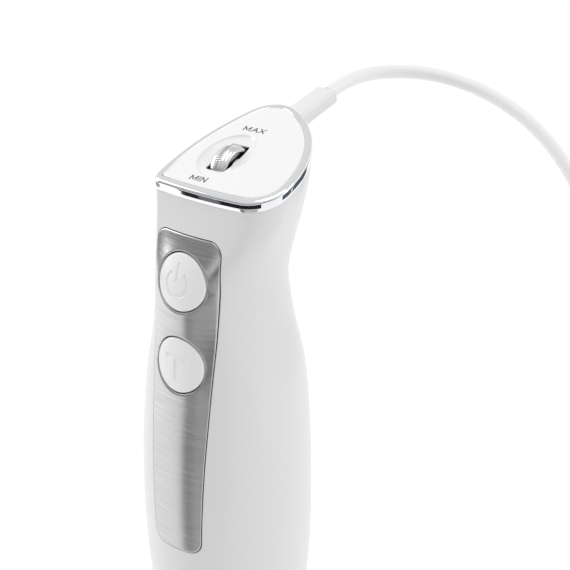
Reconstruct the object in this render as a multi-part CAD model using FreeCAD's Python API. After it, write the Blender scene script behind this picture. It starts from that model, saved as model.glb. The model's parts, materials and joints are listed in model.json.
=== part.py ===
import FreeCAD, Part
import math
import os

# Immersion blender standing on its bell. Millimetres, +Z up, front towards -Y.
# The origin is the middle of the bell's foot, on the axis of the motor and the shaft.

# ---- driving dimensions: shaft and bell ----
bell_radius = 33.0          # outside, at the foot
bell_height = 46.0
bell_wall = 1.3
tube_radius = 12.5
tube_wall = 0.9
shaft_length = 170.0        # foot to the handle's lower rim
hub_length = 31.0           # plastic hub, below the handle
tube_depth = 13.0           # how far the steel tube goes into the hub
blade_span = 23.0           # blade tip, from the axis
blade_height = 14.0         # middle of the blade, above the foot
blade_thickness = 1.6
blade_shaft_radius = 2.5
handle_bottom = shaft_length
hub_bottom = handle_bottom - hub_length
tube_top = hub_bottom + tube_depth

# ---- driving dimensions: handle ----
handle_length = 215.3       # lower rim to the middle of the speed wheel's slot, on the top plate
waist_drop = 39.3           # the narrowest place, below the slot's middle
neck_length = 6.0           # the grip starts to turn into the head this far below the waist
grip_radius = 32.9          # largest radius of the grip
wall = 2.4                  # of the handle's shell
head_setback = 4.0          # the slot's middle, behind the motor's axis
head_tilt = 17.5            # degrees, the top plate rises to the back
head_height = handle_bottom + handle_length
waist_height = head_height - waist_drop
neck_height = waist_height - neck_length
# share of the way from the lower rim to the waist, then half width, depth to the front and depth
# to the back, each as grip_radius plus so much
grip_stations = (
    (0.0, -6.4, -6.4, -6.4),
    (0.17, -2.5, -2.5, -2.5),
    (0.32, -0.5, -0.6, -0.6),
    (0.47, 0.0, -0.3, -0.1),
    (0.61, -0.9, -1.7, 0.5),
    (0.76, -3.6, -4.7, 0.3),
    (0.89, -8.0, -6.7, -5.3),
    (1.0, -9.3, -7.3, -11.3),
)
# the head's outline on the top plate: middle and radius of each corner, to the right and back
front_left_corner = (-13.6, -16.9, 4.5)
front_right_corner = (20.2, -10.3, 12.5)
back_corner = (1.2, 24.0, 11.5)
front_side_radius = 220.0
right_side_radius = 50.0
left_side_radius = 95.0
head_middle = (5.0, 2.0)    # point that the head's outline is measured round

# ---- driving dimensions: head ----
band_height = 3.7
band_lip = 2.7              # width of the chrome lip round the plate
band_proud = 0.3            # how far the band stands out of the shell
band_rounding = 1.3
plate_thickness = 3.0
carrier_thickness = 2.0
carrier_gap = 1.2           # between the wheel carrier and the shell, all round
dish_half_width = 9.9       # hollow round the speed wheel
dish_half_length = 13.3
dish_depth = 1.9
slot_width = 8.2
slot_length = 16.6
wheel_radius = 9.5
wheel_width = 6.8
wheel_depth = 7.3           # axle below the plate's top
axle_radius = 1.5
ear_thickness = 2.2         # of the two ears that carry the axle
rib_count = 48              # notches round the wheel

# ---- driving dimensions: panel and buttons ----
panel_top = waist_height + 16.5
panel_bottom = panel_top - 121.5
panel_top_half_width = 15.0
panel_bottom_half_width = 10.6
panel_corner = 5.0
panel_thickness = 0.8
panel_proud = 0.15
button_radius = 10.3
power_height = waist_height + 1.0
turbo_height = power_height - 31.0
button_gap = 0.35
button_travel = 1.5
button_proud = 0.6
flange_width = 1.4
flange_thickness = 1.2
button_stem_radius = 2.2
cap_depth = 5.9             # back of a button's cap, behind the handle's surface
frame_inset = 1.3           # the frame behind the panel is this much smaller all round

# ---- driving dimensions: circuit board and switches ----
board_y = -11.2             # front face of the board
board_thickness = 1.6
board_bottom = turbo_height - 24.0
board_top = power_height + 15.0
board_half_width = 11.5
switch_height = 4.0
spring_radius = 5.4
spring_wire = 0.7
spring_turns = 4
spring_foot = 1.3           # the springs stop this short of the board
capacitor_size = (7.5, 16.0)            # depth and height
heatsink_size = (18.0, 9.0, 20.0)       # width, depth and height
rail_thickness = 2.0

# ---- driving dimensions: coupling, partition and shaft release ----
spigot_radius = 20.8
spigot_length = 13.0
spigot_wall = 2.0
socket_outer = 7.5
coupling_radius = 4.2
coupling_bottom = handle_bottom + 3.0
coupling_top = coupling_bottom + 11.0
bushing_radius = 4.5
partition_top = handle_bottom + 18.5
partition_thickness = 2.5
release_height = handle_bottom + 10.0
release_half_width = 4.0
release_rise = 3.0          # from the middle of the button to the middle of each round end
release_travel = 1.2
release_proud = 0.8

# ---- driving dimensions: motor ----
motor_floor = handle_bottom + 29.0      # underside of the lower motor bracket
stator_radius = 22.5
stator_length = 28.0
rotor_radius = 13.6
air_gap = 0.5
motor_shaft_radius = 2.5
bearing_radius = 8.0
bearing_width = 5.0
fan_radius = 19.0
commutator_radius = 7.0
screw_radius = 1.6

# ---- driving dimensions: cord ----
cord_diameter = 5.4
relief_width = 9.6
relief_height = 6.0
relief_length = 29.0        # outside the shell
relief_tilt = 11.5          # degrees, up
relief_offset = 2.2         # to the right of the motor's axis
relief_back = 36.0          # its reference point, behind the axis
relief_height_at_back = head_height + 2.8
relief_inner = 6.0          # its inner end, before the reference point
relief_reach = relief_length + 1.0      # its outer end, past the reference point
relief_taper = 0.3
coil_turns = 4
coil_radius = 30.3          # middle of the turns
coil_middle = (85.0, 48.0)
cord_points = (
    (2.2, 80, 397.3),
    (9.5, 99, 397.8),
    (26.0, 112, 396.0),
    (49.0, 117, 389.5),
    (73.0, 116, 376.5),
    (93.0, 112.5, 354.0),
    (105.5, 108.5, 323.0),
    (112.0, 105.5, 287.0),
    (115.5, 104, 248.0),
    (116.5, 104, 207.0),
    (117.0, 105, 166.0),
    (118.5, 106, 126.0),
    (120.0, 105, 90.0),
    (120.5, 99, 56.0),
    (120.0, 90, 33.0),
    (119.0, 71, 10.0),
    (118.0, 50, 2.7),
)
plug_size = (35.0, 29.0, 13.5)          # width, length and height
pin_radius = 2.0
pin_length = 19.0
pin_spacing = 19.0
plug_distance = 38.0        # back of the plug's body, in front of the coil's middle
neck_length_on_plug = 17.0

# ---- named clearances ----
fit_gap = 0.15              # between pieces of one body that drop into each other
moving_gap = 0.35           # between pieces that move past each other
running_gap = 0.03          # radial, shaft in a bearing
socket_gap = 0.4            # drive coupling in its socket, radial
spigot_gap = 0.45           # the hub's spigot in the handle, radial
solids = {}


def vec(x, y, z):
    return FreeCAD.Vector(x, y, z)


def on_circle(radius, degrees):
    return radius * math.cos(math.radians(degrees)), radius * math.sin(math.radians(degrees))


def rod(radius, low, high, x=0.0, y=0.0):
    return Part.makeCylinder(radius, high - low, vec(x, y, low))


def ring(outer, inner, low, high, x=0.0, y=0.0):
    return rod(outer, low, high, x, y).cut(rod(inner, low - 1, high + 1, x, y))


def block(x0, x1, y0, y1, z0, z1):
    return Part.makeBox(x1 - x0, y1 - y0, z1 - z0, vec(x0, y0, z0))


def turned(points):
    """A solid of revolution from (radius, height) corners."""
    line = [vec(r, 0, z) for r, z in points]
    face = Part.Face(Part.makePolygon(line + line[:1]))
    return face.revolve(vec(0, 0, 0), vec(0, 0, 1), 360)


def sector(outer, inner, low, high, middle, half_angle):
    """A piece of a ring, half_angle degrees each side of the direction middle."""
    piece = ring(outer, inner, low, high)
    far = outer * 3
    corners = [vec(0, 0, low - 1)]
    for a in (middle - half_angle, middle, middle + half_angle):
        corners.append(vec(*on_circle(far, a), low - 1))
    wedge = Part.Face(Part.makePolygon(corners + corners[:1])).extrude(vec(0, 0, high - low + 2))
    return piece.common(wedge)


def together(shapes):
    whole = shapes[0]
    for s in shapes[1:]:
        whole = whole.fuse(s)
    return whole.removeSplitter()


def smooth(t):
    t = min(max(t, 0.0), 1.0)
    return t * t * (3 - 2 * t)


# ---- the head's outline ----
def outline_arcs(inset):
    """Three corner arcs joined by three long side arcs, as (middle, radius, first angle, last angle)."""
    corners = (front_left_corner, front_right_corner, back_corner)
    sides = (front_side_radius, right_side_radius, left_side_radius)
    middle = [sum(c[i] for c in corners) / 3 for i in (0, 1)]
    side_arcs = []
    for i in range(3):
        (x0, y0, r0), (x1, y1, r1) = corners[i], corners[(i + 1) % 3]
        reach0, reach1 = sides[i] - r0, sides[i] - r1
        gap = math.hypot(x1 - x0, y1 - y0)
        along = (reach0 ** 2 - reach1 ** 2 + gap ** 2) / (2 * gap)
        out = math.sqrt(reach0 ** 2 - along ** 2)
        ux, uy = (x1 - x0) / gap, (y1 - y0) / gap
        x, y = x0 + ux * along, y0 + uy * along
        if (middle[0] - x) * -uy + (middle[1] - y) * ux < 0:
            out = -out
        x, y = x - uy * out, y + ux * out
        start = math.atan2(y0 - y, x0 - x)
        end = math.atan2(y1 - y, x1 - x)
        side_arcs.append(((x, y), sides[i] - inset, start, end))
    arcs = []
    for i in range(3):
        x, y, r = corners[i]
        arcs.append(((x, y), r - inset, side_arcs[i - 1][3], side_arcs[i][2]))
        arcs.append(side_arcs[i])
    return [(m, r, a, b if b > a else b + 2 * math.pi) for m, r, a, b in arcs]


def plate_point(x, y, sunk=0.0):
    """A point given to the right and back on the top plate, sunk straight down."""
    t = math.radians(head_tilt)
    return vec(x, head_setback + y * math.cos(t), head_height + y * math.sin(t) - sunk)


def outline_face(inset, sunk=0.0):
    edges = []
    for (mx, my), r, a, b in outline_arcs(inset):
        ends = [plate_point(mx + r * math.cos(t), my + r * math.sin(t), sunk) for t in (a, (a + b) / 2, b)]
        edges.append(Part.Arc(*ends).toShape())
    return Part.Face(Part.Wire(edges))


def outline_slab(inset, top, bottom):
    """The outline's slab, between two depths below the plate's top."""
    return outline_face(inset, top).extrude(vec(0, 0, top - bottom))


def outline_reach(angle, inset):
    """Distance from head_middle to the outline, in one direction on the plate."""
    cx, cy = head_middle
    ux, uy = math.cos(angle), math.sin(angle)
    best = 0.0
    for (mx, my), r, a, b in outline_arcs(inset):
        wx, wy = cx - mx, cy - my
        half = wx * ux + wy * uy
        inside = half ** 2 - (wx ** 2 + wy ** 2 - r ** 2)
        if inside < 0:
            continue
        s = -half + math.sqrt(inside)
        turn = math.atan2(cy + s * uy - my, cx + s * ux - mx)
        while turn < a - 1e-6:
            turn += 2 * math.pi
        if turn <= b + 1e-6:
            best = max(best, s)
    return best


# ---- the handle's surface ----
shell_top = head_height - head_setback * math.tan(math.radians(head_tilt)) - band_height


def grip_sizes(height):
    """Half width, front depth and back depth at a height: a cubic through the stations."""
    z = (height - handle_bottom) / (waist_height - handle_bottom)
    i = 0
    while i < len(grip_stations) - 2 and z > grip_stations[i + 1][0]:
        i += 1
    near = [grip_stations[min(max(k, 0), len(grip_stations) - 1)] for k in (i - 1, i, i + 1, i + 2)]
    step = near[2][0] - near[1][0]
    t = min(max((z - near[1][0]) / step, 0.0), 1.0)
    sizes = []
    for c in (1, 2, 3):
        rise0 = (near[2][c] - near[0][c]) / (near[2][0] - near[0][0]) * step
        rise1 = (near[3][c] - near[1][c]) / (near[3][0] - near[1][0]) * step
        value = (2 * t ** 3 - 3 * t ** 2 + 1) * near[1][c] + (t ** 3 - 2 * t ** 2 + t) * rise0
        value += (3 * t ** 2 - 2 * t ** 3) * near[2][c] + (t ** 3 - t ** 2) * rise1
        sizes.append(grip_radius + value)
    return sizes


def handle_point(angle, height, inset):
    """A point of the handle's surface: an egg below the neck, the head's outline at the top."""
    half, front, back = (s - inset for s in grip_sizes(height))
    mean, lean = (front + back) / 2, (back - front) / 2
    x, y = half * math.cos(angle), (mean + lean * math.sin(angle)) * math.sin(angle)
    share = smooth((height - neck_height) / (shell_top - neck_height))
    tilt = math.tan(math.radians(head_tilt))
    if share > 0:
        reach = outline_reach(angle, inset + band_proud)
        px = head_middle[0] + reach * math.cos(angle)
        py = head_middle[1] + reach * math.sin(angle)
        top = plate_point(px, py)
        x, y = x + (top.x - x) * share, y + (top.y - y) * share
    return vec(x, y, height + tilt * share * y)


def handle_solid(inset, low, high, beyond=0.0):
    """The handle's body between two heights, its surface moved in by inset. The top can run on by beyond."""
    count = 28
    steps = max(3, round((min(high, neck_height) - low) / 13))
    heights = [low + (min(high, neck_height) - low) * i / steps for i in range(steps + 1)]
    if high > neck_height:
        heights += [neck_height + (high - neck_height) * i / 6 for i in range(1, 7)]
    wires = []
    for h in heights + ([high + beyond] if beyond else []):
        points = [handle_point(2 * math.pi * i / count, min(h, high), inset) for i in range(count)]
        points = [p + vec(0, 0, h - min(h, high)) for p in points]
        curve = Part.BSplineCurve()
        curve.interpolate(Points=points, PeriodicFlag=True, Parameters=[i / count for i in range(count + 1)])
        wires.append(Part.Wire([curve.toShape()]))
    return Part.makeLoft(wires, True, False)


def front_depth(height):
    """Depth of the handle's surface in front of the axis, at a true height."""
    low, high = height - 15, height + 15
    for _ in range(40):
        middle = (low + high) / 2
        if handle_point(-math.pi / 2, middle, 0).z < height:
            low = middle
        else:
            high = middle
    return -handle_point(-math.pi / 2, low, 0).y


def inner_radius(height):
    """The least distance from the axis to the shell's inside."""
    return min(grip_sizes(height)) - wall


def panel_prism(inset, far=60.0, near=2.0):
    """The front panel's outline, seen from the front, as a deep prism."""
    low, high = panel_bottom + inset, panel_top - inset
    bottom, top = panel_bottom_half_width - inset, panel_top_half_width - inset
    corners = [vec(-bottom, -far, low), vec(bottom, -far, low), vec(top, -far, high), vec(-top, -far, high)]
    prism = Part.Face(Part.makePolygon(corners + corners[:1])).extrude(vec(0, far - near, 0))
    edges = [e for e in prism.Edges if abs(e.Vertexes[0].Y - e.Vertexes[1].Y) > 1]
    return prism.makeFillet(max(panel_corner - inset, 0.8), edges)


# ---- shaft, bell and blade ----
def make_bell():
    reach = bell_radius - tube_radius
    shoulder = bell_height - 12.0
    outside = Part.BSplineCurve()
    outside.interpolate([
        vec(bell_radius, 0, 11), vec(bell_radius - 0.07 * reach, 0, 0.5 * shoulder),
        vec(tube_radius + 0.45 * reach, 0, shoulder - 1), vec(tube_radius + 0.02 * reach, 0, bell_height)])
    inside = Part.BSplineCurve()
    inside.interpolate([
        vec(bell_radius - bell_wall, 0, 11),
        vec(bell_radius - bell_wall - 0.08 * reach, 0, 0.5 * shoulder - 1),
        vec(tube_radius + 0.45 * reach - 1, 0, shoulder - 2.6),
        vec(tube_radius - tube_wall, 0, shoulder + 1)])
    foot = [vec(bell_radius - bell_wall, 0, 11), vec(bell_radius - bell_wall, 0, 0), vec(bell_radius, 0, 0),
            vec(bell_radius, 0, 11)]
    top = [vec(tube_radius + 0.02 * reach, 0, bell_height), vec(tube_radius, 0, bell_height),
           vec(tube_radius - tube_wall, 0, bell_height), vec(tube_radius - tube_wall, 0, shoulder + 1)]
    edges = [Part.LineSegment(a, b).toShape() for a, b in zip(foot[:-1], foot[1:])]
    edges += [outside.toShape()]
    edges += [Part.LineSegment(a, b).toShape() for a, b in zip(top[:-1], top[1:])]
    edges += [inside.toShape()]
    wire = Part.Wire(Part.__sortEdges__(edges))
    bell = Part.Face(wire).revolve(vec(0, 0, 0), vec(0, 0, 1), 360)
    for i in range(4):
        slot = Part.makeCylinder(3.2, 30, vec(bell_radius - 12, 0, 7.4), vec(1, 0, 0))
        wide = block(bell_radius - 12, bell_radius + 18, -7, 7, 4.2, 10.6)
        ends = [slot.translated(vec(0, s * 7, 0)) for s in (-1, 1)]
        cutter = together([wide] + ends)
        cutter.rotate(vec(0, 0, 0), vec(0, 0, 1), 45 + 90 * i)
        bell = bell.cut(cutter)
    return bell


def make_shaft():
    boss_bottom = blade_height + 7.0
    solids["bell_guard"] = make_bell()
    solids["shaft_tube"] = ring(tube_radius, tube_radius - tube_wall, bell_height, tube_top)
    inner = tube_radius - tube_wall
    solids["bell_boss"] = turned([
        (bushing_radius, boss_bottom), (bushing_radius + 3.0, boss_bottom),
        (bushing_radius + 4.5, boss_bottom + 3), (inner, bell_height - 9),
        (inner, bell_height + 8), (bushing_radius, bell_height + 8)])
    bore = blade_shaft_radius + running_gap
    solids["lower_bushing"] = ring(bushing_radius, bore, boss_bottom, boss_bottom + 16)
    solids["shaft_seal"] = ring(bushing_radius, bore, boss_bottom + 16, boss_bottom + 20)
    low = tube_top - 14
    solids["upper_bushing"] = ring(bushing_radius, bore, low, low + 10)
    solids["bushing_holder"] = ring(inner, bushing_radius, low, low + 6)
    # plastic hub: a cone outside, a spigot that goes into the handle
    collar = grip_sizes(handle_bottom)[0]
    hub = turned([(tube_radius, hub_bottom), (tube_radius + 1.6, hub_bottom),
                  (tube_radius + 2.6, hub_bottom + 4),
                  (tube_radius + 0.55 * (collar - tube_radius), hub_bottom + 14),
                  (collar - 2.4, handle_bottom - 9), (collar - 0.5, handle_bottom - 3.5),
                  (collar - 0.2, handle_bottom - moving_gap), (spigot_radius, handle_bottom - moving_gap),
                  (spigot_radius, handle_bottom + spigot_length),
                  (spigot_radius - spigot_wall, handle_bottom + spigot_length),
                  (spigot_radius - spigot_wall, handle_bottom - 2), (socket_outer + 1, tube_top + 2),
                  (socket_outer + 1, tube_top), (tube_radius, tube_top)])
    solids["shaft_hub"] = hub


def make_blade():
    top = coupling_bottom - 2.5
    solids["blade_shaft"] = rod(blade_shaft_radius, blade_height - 3, top)
    socket = rod(socket_outer, top - 6, coupling_top - 3)
    hollow = rod(coupling_radius + socket_gap, top + 0.5, coupling_top)
    solids["coupling_socket"] = socket.cut(hollow).cut(rod(blade_shaft_radius, top - 7, top))
    low, high = blade_height, blade_height + blade_thickness
    half = 5.0
    inner = blade_span * 0.52
    wing = [vec(0, -half, low), vec(inner, -half, low), vec(inner, half * 0.6, low), vec(0, half, low)]
    blade = None
    for turn in (0, 180):
        flat = Part.Face(Part.makePolygon(wing + wing[:1])).extrude(vec(0, 0, blade_thickness))
        rise = 4.2 if turn else -4.2
        tip = [vec(inner, -half, low), vec(blade_span, -half * 0.5, low + rise),
               vec(blade_span, half * 0.35, low + rise), vec(inner, half * 0.6, low)]
        bottom = Part.makePolygon(tip + tip[:1])
        lifted = bottom.translated(vec(0, 0, blade_thickness))
        wingtip = Part.makeLoft([bottom, lifted], True, True)
        both = flat.fuse(wingtip)
        both.rotate(vec(0, 0, 0), vec(0, 0, 1), turn)
        blade = both if blade is None else blade.fuse(both)
    blade = blade.fuse(rod(6.2, low, high)).removeSplitter()
    solids["blade"] = blade.cut(rod(blade_shaft_radius, low - 9, high + 9))
    nut = turned([(0, low - 5.0), (3.0, low - 5.0), (4.6, low - 3.6), (4.6, low), (blade_shaft_radius, low),
                  (blade_shaft_radius, low - 3), (0, low - 3)])
    solids["blade_nut"] = nut
    solids["blade_spacer"] = ring(4.4, blade_shaft_radius, high, blade_height + 7 - moving_gap)


# ---- motor and drive ----
def make_motor():
    shaft_top = motor_floor + stator_length + 40
    core_low = motor_floor + 11
    core_high = core_low + stator_length
    solids["motor_shaft"] = rod(motor_shaft_radius, coupling_bottom + 3, shaft_top - 1)
    hexagon = [vec(*on_circle(coupling_radius, 60 * i), coupling_bottom) for i in range(6)]
    coupling_length = coupling_top - coupling_bottom
    male = Part.Face(Part.makePolygon(hexagon + hexagon[:1])).extrude(vec(0, 0, coupling_length))
    solids["drive_coupling"] = male.cut(rod(motor_shaft_radius, coupling_bottom + 3, coupling_top + 1))

    fan_low, fan_high = motor_floor - 8.5, motor_floor - 2
    hub = ring(6, motor_shaft_radius, fan_low, fan_high)
    fan = hub.fuse(ring(fan_radius, motor_shaft_radius, fan_low, fan_low + 1.2))
    for i in range(9):
        vane = block(5, fan_radius, -0.6, 0.6, fan_low, fan_high)
        vane.rotate(vec(5, 0, 0), vec(0, 0, 1), 28)
        vane.rotate(vec(0, 0, 0), vec(0, 0, 1), 40 * i)
        fan = fan.fuse(vane.common(rod(fan_radius, fan_low, fan_high)))
    solids["cooling_fan"] = fan.removeSplitter()

    core = ring(rotor_radius, motor_shaft_radius, core_low, core_high)
    for i in range(12):
        slot = block(rotor_radius - 4.6, rotor_radius + 1, -0.9, 0.9, core_low - 1, core_high + 1)
        slot.rotate(vec(0, 0, 0), vec(0, 0, 1), 30 * i)
        core = core.cut(slot)
    solids["rotor_core"] = core
    ends = []
    for a, b in ((core_low, core_low - 5.5), (core_high, core_high + 5.5)):
        ends.append(turned([(4, a), (rotor_radius - 1.0, a), (rotor_radius - 1.4, (a + b) / 2),
                            (rotor_radius - 3.4, b), (4, b)]))
    solids["armature_windings"] = Part.makeCompound(ends)
    com_low = core_high + 8
    solids["commutator"] = ring(commutator_radius, motor_shaft_radius, com_low, com_low + 8)

    coils, cuts = [], []
    coil_out, coil_in = stator_radius - 1.6, rotor_radius + 2.2
    for side in (90, 270):
        outer = sector(coil_out, coil_in, core_low - 6, core_high + 6, side, 52)
        pole = sector(coil_out + 1, coil_in - 1, core_low + 1, core_high - 1, side, 34)
        coils.append(outer.cut(pole))
    solids["stator_coils"] = Part.makeCompound(coils)
    core = ring(stator_radius, rotor_radius + air_gap, core_low, core_high)
    for c in coils:
        core = core.cut(c)
    solids["stator_core"] = core

    screws = [on_circle(stator_radius + screw_radius + 1.2, a) for a in (0, 180)]
    upper = core_high + 19.5
    lower_radius = inner_radius(motor_floor) - fit_gap
    upper_radius = min(inner_radius(upper), inner_radius(upper + 4)) - fit_gap - 0.2
    bore = motor_shaft_radius + running_gap
    plate = ring(lower_radius, bearing_radius, motor_floor, motor_floor + 3)
    bridge = ring(upper_radius, bearing_radius, upper, upper + 3)
    for a in range(0, 360, 60):
        x, y = on_circle((bearing_radius + stator_radius) / 2, a + 30)
        plate = plate.cut(rod(4, motor_floor - 1, motor_floor + 4, x, y))
        bridge = bridge.cut(rod(4, upper - 1, upper + 4, x, y))
    for x, y in screws:
        plate = plate.cut(rod(screw_radius, motor_floor - 1, motor_floor + 4, x, y))
        bridge = bridge.cut(rod(screw_radius, upper - 1, upper + 4, x, y))
    rests = ring(stator_radius, stator_radius - 1.2, motor_floor + 3, core_low)
    solids["lower_motor_bracket"] = plate.fuse(rests).removeSplitter()
    seats = ring(stator_radius, stator_radius - 1.2, core_high, upper)
    for side in (0, 180):
        gap = block(stator_radius - 4, stator_radius + 2, -5, 5, com_low - 1.5, com_low + 9.5)
        gap.rotate(vec(0, 0, 0), vec(0, 0, 1), side)
        seats = seats.cut(gap)
    solids["upper_motor_bracket"] = bridge.fuse(seats).removeSplitter()
    solids["lower_bearing"] = ring(bearing_radius, bore, motor_floor - 0.5, motor_floor - 0.5 + bearing_width)
    solids["upper_bearing"] = ring(bearing_radius, bore, upper - 0.5, upper - 0.5 + bearing_width)
    bolts = []
    for x, y in screws:
        bolt_head = rod(screw_radius + 1.2, upper + 3, upper + 5, x, y)
        bolts.append(rod(screw_radius, motor_floor, upper + 3, x, y).fuse(bolt_head))
    solids["motor_screws"] = Part.makeCompound(bolts)
    pad_in = fan_radius + 2
    pad_out = inner_radius(partition_top) - fit_gap
    solids["motor_damper"] = ring(pad_out, pad_in, partition_top, motor_floor)
    brushes, holders = [], []
    for side in (0, 180):
        brush = block(commutator_radius + 0.3, 17.5, -2.5, 2.5, com_low + 1.0, com_low + 7.0)
        holder = block(9.5, 21.0, -3.6, 3.6, com_low - 0.1, com_low + 8.1).cut(
            block(9, 22, -2.5, 2.5, com_low + 1.0, com_low + 7.0))
        for piece, where in ((brush, brushes), (holder, holders)):
            piece.rotate(vec(0, 0, 0), vec(0, 0, 1), side)
            where.append(piece)
    solids["carbon_brushes"] = Part.makeCompound(brushes)
    solids["brush_holders"] = Part.makeCompound(holders)
    return upper + 3


# ---- handle shell, panel and buttons ----
def button_place(height):
    """Local frame of a button: its own -Y looks out of the handle's surface at that height."""
    lean = math.atan2(front_depth(height - 4) - front_depth(height + 4), 8.0)
    turn = FreeCAD.Rotation(vec(1, 0, 0), -math.degrees(lean))
    return FreeCAD.Placement(vec(0, -front_depth(height), height), turn)


def along_y(radius, y0, y1):
    return Part.makeCylinder(radius, y1 - y0, vec(0, y0, 0), vec(0, 1, 0))


def placed(shape, place):
    moved = shape.copy()
    moved.Placement = place.multiply(moved.Placement)
    return moved


def release_blank(side, grow, inner, outer):
    """A pill-shaped block on the handle's side, for a release button and its hole."""
    half = release_half_width + grow
    low, high = release_height - release_rise, release_height + release_rise
    ends = [Part.makeCylinder(half, outer - inner, vec(inner, 0, z), vec(1, 0, 0)) for z in (low, high)]
    pill = together([block(inner, outer, -half, half, low, high)] + ends)
    pill.rotate(vec(0, 0, 0), vec(0, 0, 1), 0 if side > 0 else 180)
    return pill


def make_shell():
    outer = handle_solid(0, handle_bottom, shell_top)
    inner = handle_solid(wall, partition_top, shell_top, 4.0)
    shell = outer.cut(inner)
    shell = shell.cut(rod(spigot_radius + spigot_gap, handle_bottom - 1, partition_top - partition_thickness))
    shell = shell.cut(rod(socket_outer - 1, handle_bottom, partition_top + 1))
    pocket = panel_prism(-fit_gap).cut(handle_solid(panel_thickness + fit_gap, panel_bottom - 9, shell_top))
    shell = shell.cut(pocket)
    shell = shell.cut(panel_prism(frame_inset - fit_gap, near=12.0))
    shell = shell.cut(relief_hole())
    for side in (-1, 1):
        shell = shell.cut(release_blank(side, moving_gap, spigot_radius - 3, grip_radius + 5))
    solids["handle_shell"] = shell


def make_panel():
    sheet = handle_solid(-panel_proud, panel_bottom - 6, shell_top).cut(
        handle_solid(panel_thickness, panel_bottom - 9, shell_top, 3.0))
    panel = sheet.common(panel_prism(0))
    back = handle_solid(panel_thickness + fit_gap, panel_bottom - 6, shell_top).cut(
        handle_solid(wall, panel_bottom - 9, shell_top, 3.0))
    frame = back.common(panel_prism(frame_inset, near=12.0))
    skin = handle_solid(-button_proud, power_height - 60, shell_top)
    for name, height in (("power", power_height), ("turbo", turbo_height)):
        place = button_place(height)
        hole = placed(along_y(button_radius + button_gap, -20, 20), place)
        panel = panel.cut(hole)
        room = along_y(button_radius + flange_width + fit_gap, cap_depth - moving_gap, 20)
        frame = frame.cut(hole).cut(placed(room, place))
        depth = board_front(place)
        back_y = cap_depth
        cap = placed(along_y(button_radius, -6, back_y), place).common(skin)
        flange = placed(along_y(button_radius + flange_width, back_y, back_y + flange_thickness), place)
        stem = along_y(button_stem_radius, back_y + flange_thickness, depth - switch_height - 0.5)
        stem = placed(stem, place).cut(switch_space(button_travel))
        solids[name + "_button"] = cap.fuse(flange).fuse(stem).removeSplitter()
        spring = coil_spring(back_y + flange_thickness, depth - spring_foot)
        solids[name + "_spring"] = placed(spring, place)
    solids["front_panel"] = panel
    solids["button_frame"] = frame


def board_front(place):
    """Distance from a button's surface to the board, along the button."""
    out = place.Rotation.multVec(vec(0, 1, 0))
    return (board_y - place.Base.y) / out.y


def switch_space(travel):
    """The space behind the switches' front faces, grown by the button's travel."""
    front = board_y - switch_height - travel - moving_gap
    return block(-20, 20, front, board_y + 30, handle_bottom, head_height)


def coil_spring(y0, y1):
    """A compression spring along Y: a round wire through points of a helix."""
    steps = 10
    start, end = y0 + spring_wire / 2 + 0.05, y1 - spring_wire / 2 - 0.05
    points = []
    for i in range(steps * spring_turns + 1):
        x, z = on_circle(spring_radius, 360 * i / steps)
        points.append(vec(x, start + (end - start) * i / (steps * spring_turns), z))
    return round_tube(points, spring_wire / 2)[0]


def make_electronics(motor_top):
    back = board_y + board_thickness
    half = board_half_width
    solids["circuit_board"] = block(-half, half, board_y, back, board_bottom, board_top)
    switches = []
    for height in (power_height, turbo_height):
        place = button_place(height)
        aim = place.multVec(vec(0, board_front(place), 0))
        body = block(-3, 3, board_y - switch_height + 1, board_y, aim.z - 3, aim.z + 3)
        knob = Part.makeCylinder(1.7, 1, vec(0, board_y - switch_height, aim.z), vec(0, 1, 0))
        switches.append(body.fuse(knob))
    solids["tact_switches"] = Part.makeCompound(switches)
    low = board_bottom + 3.5
    deep, tall = capacitor_size
    solids["film_capacitor"] = block(0.8, 10, back, back + deep, low, low + tall)
    solids["smoothing_capacitor"] = rod(5.0, low, low + tall, -4.5, back + 5.2)
    wide, deep, tall = heatsink_size
    low = turbo_height + 6
    fins = [block(-wide / 2, wide / 2, back, back + 2, low, low + tall)]
    for i in range(5):
        left = -wide / 2 + (wide - 1.6) / 4 * i
        fins.append(block(left, left + 1.6, back, back + deep, low, low + tall))
    solids["triac_heatsink"] = together(fins)
    # rails that carry the board on top of the motor's upper bracket
    rails = []
    for s in (-1, 1):
        x0, x1 = sorted((s * (board_half_width + fit_gap), s * (board_half_width + fit_gap + rail_thickness)))
        rails.append(block(x0, x1, board_y - 2, board_y + 5, motor_top + 3, board_top - 3))
    half = board_half_width + fit_gap + rail_thickness
    bridge = block(-half, half, board_y - 2, board_y + 5, motor_top + 3, motor_top + 5.5)
    for x in (-half + 4, half - 4):
        rails.append(block(x - 2, x + 2, board_y - 2, board_y + 5, motor_top, motor_top + 3))
    brace = block(-half, half, back + fit_gap, board_y + 5, turbo_height - 2, turbo_height + 2)
    solids["board_chassis"] = together(rails + [bridge, brace])


# ---- head: band, plate, speed wheel ----
def in_head(shape):
    """From the plate's own frame (right, back, up from its top) to the part's frame."""
    place = FreeCAD.Placement(vec(0, head_setback, head_height), FreeCAD.Rotation(vec(1, 0, 0), head_tilt))
    return placed(shape, place)


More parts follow.
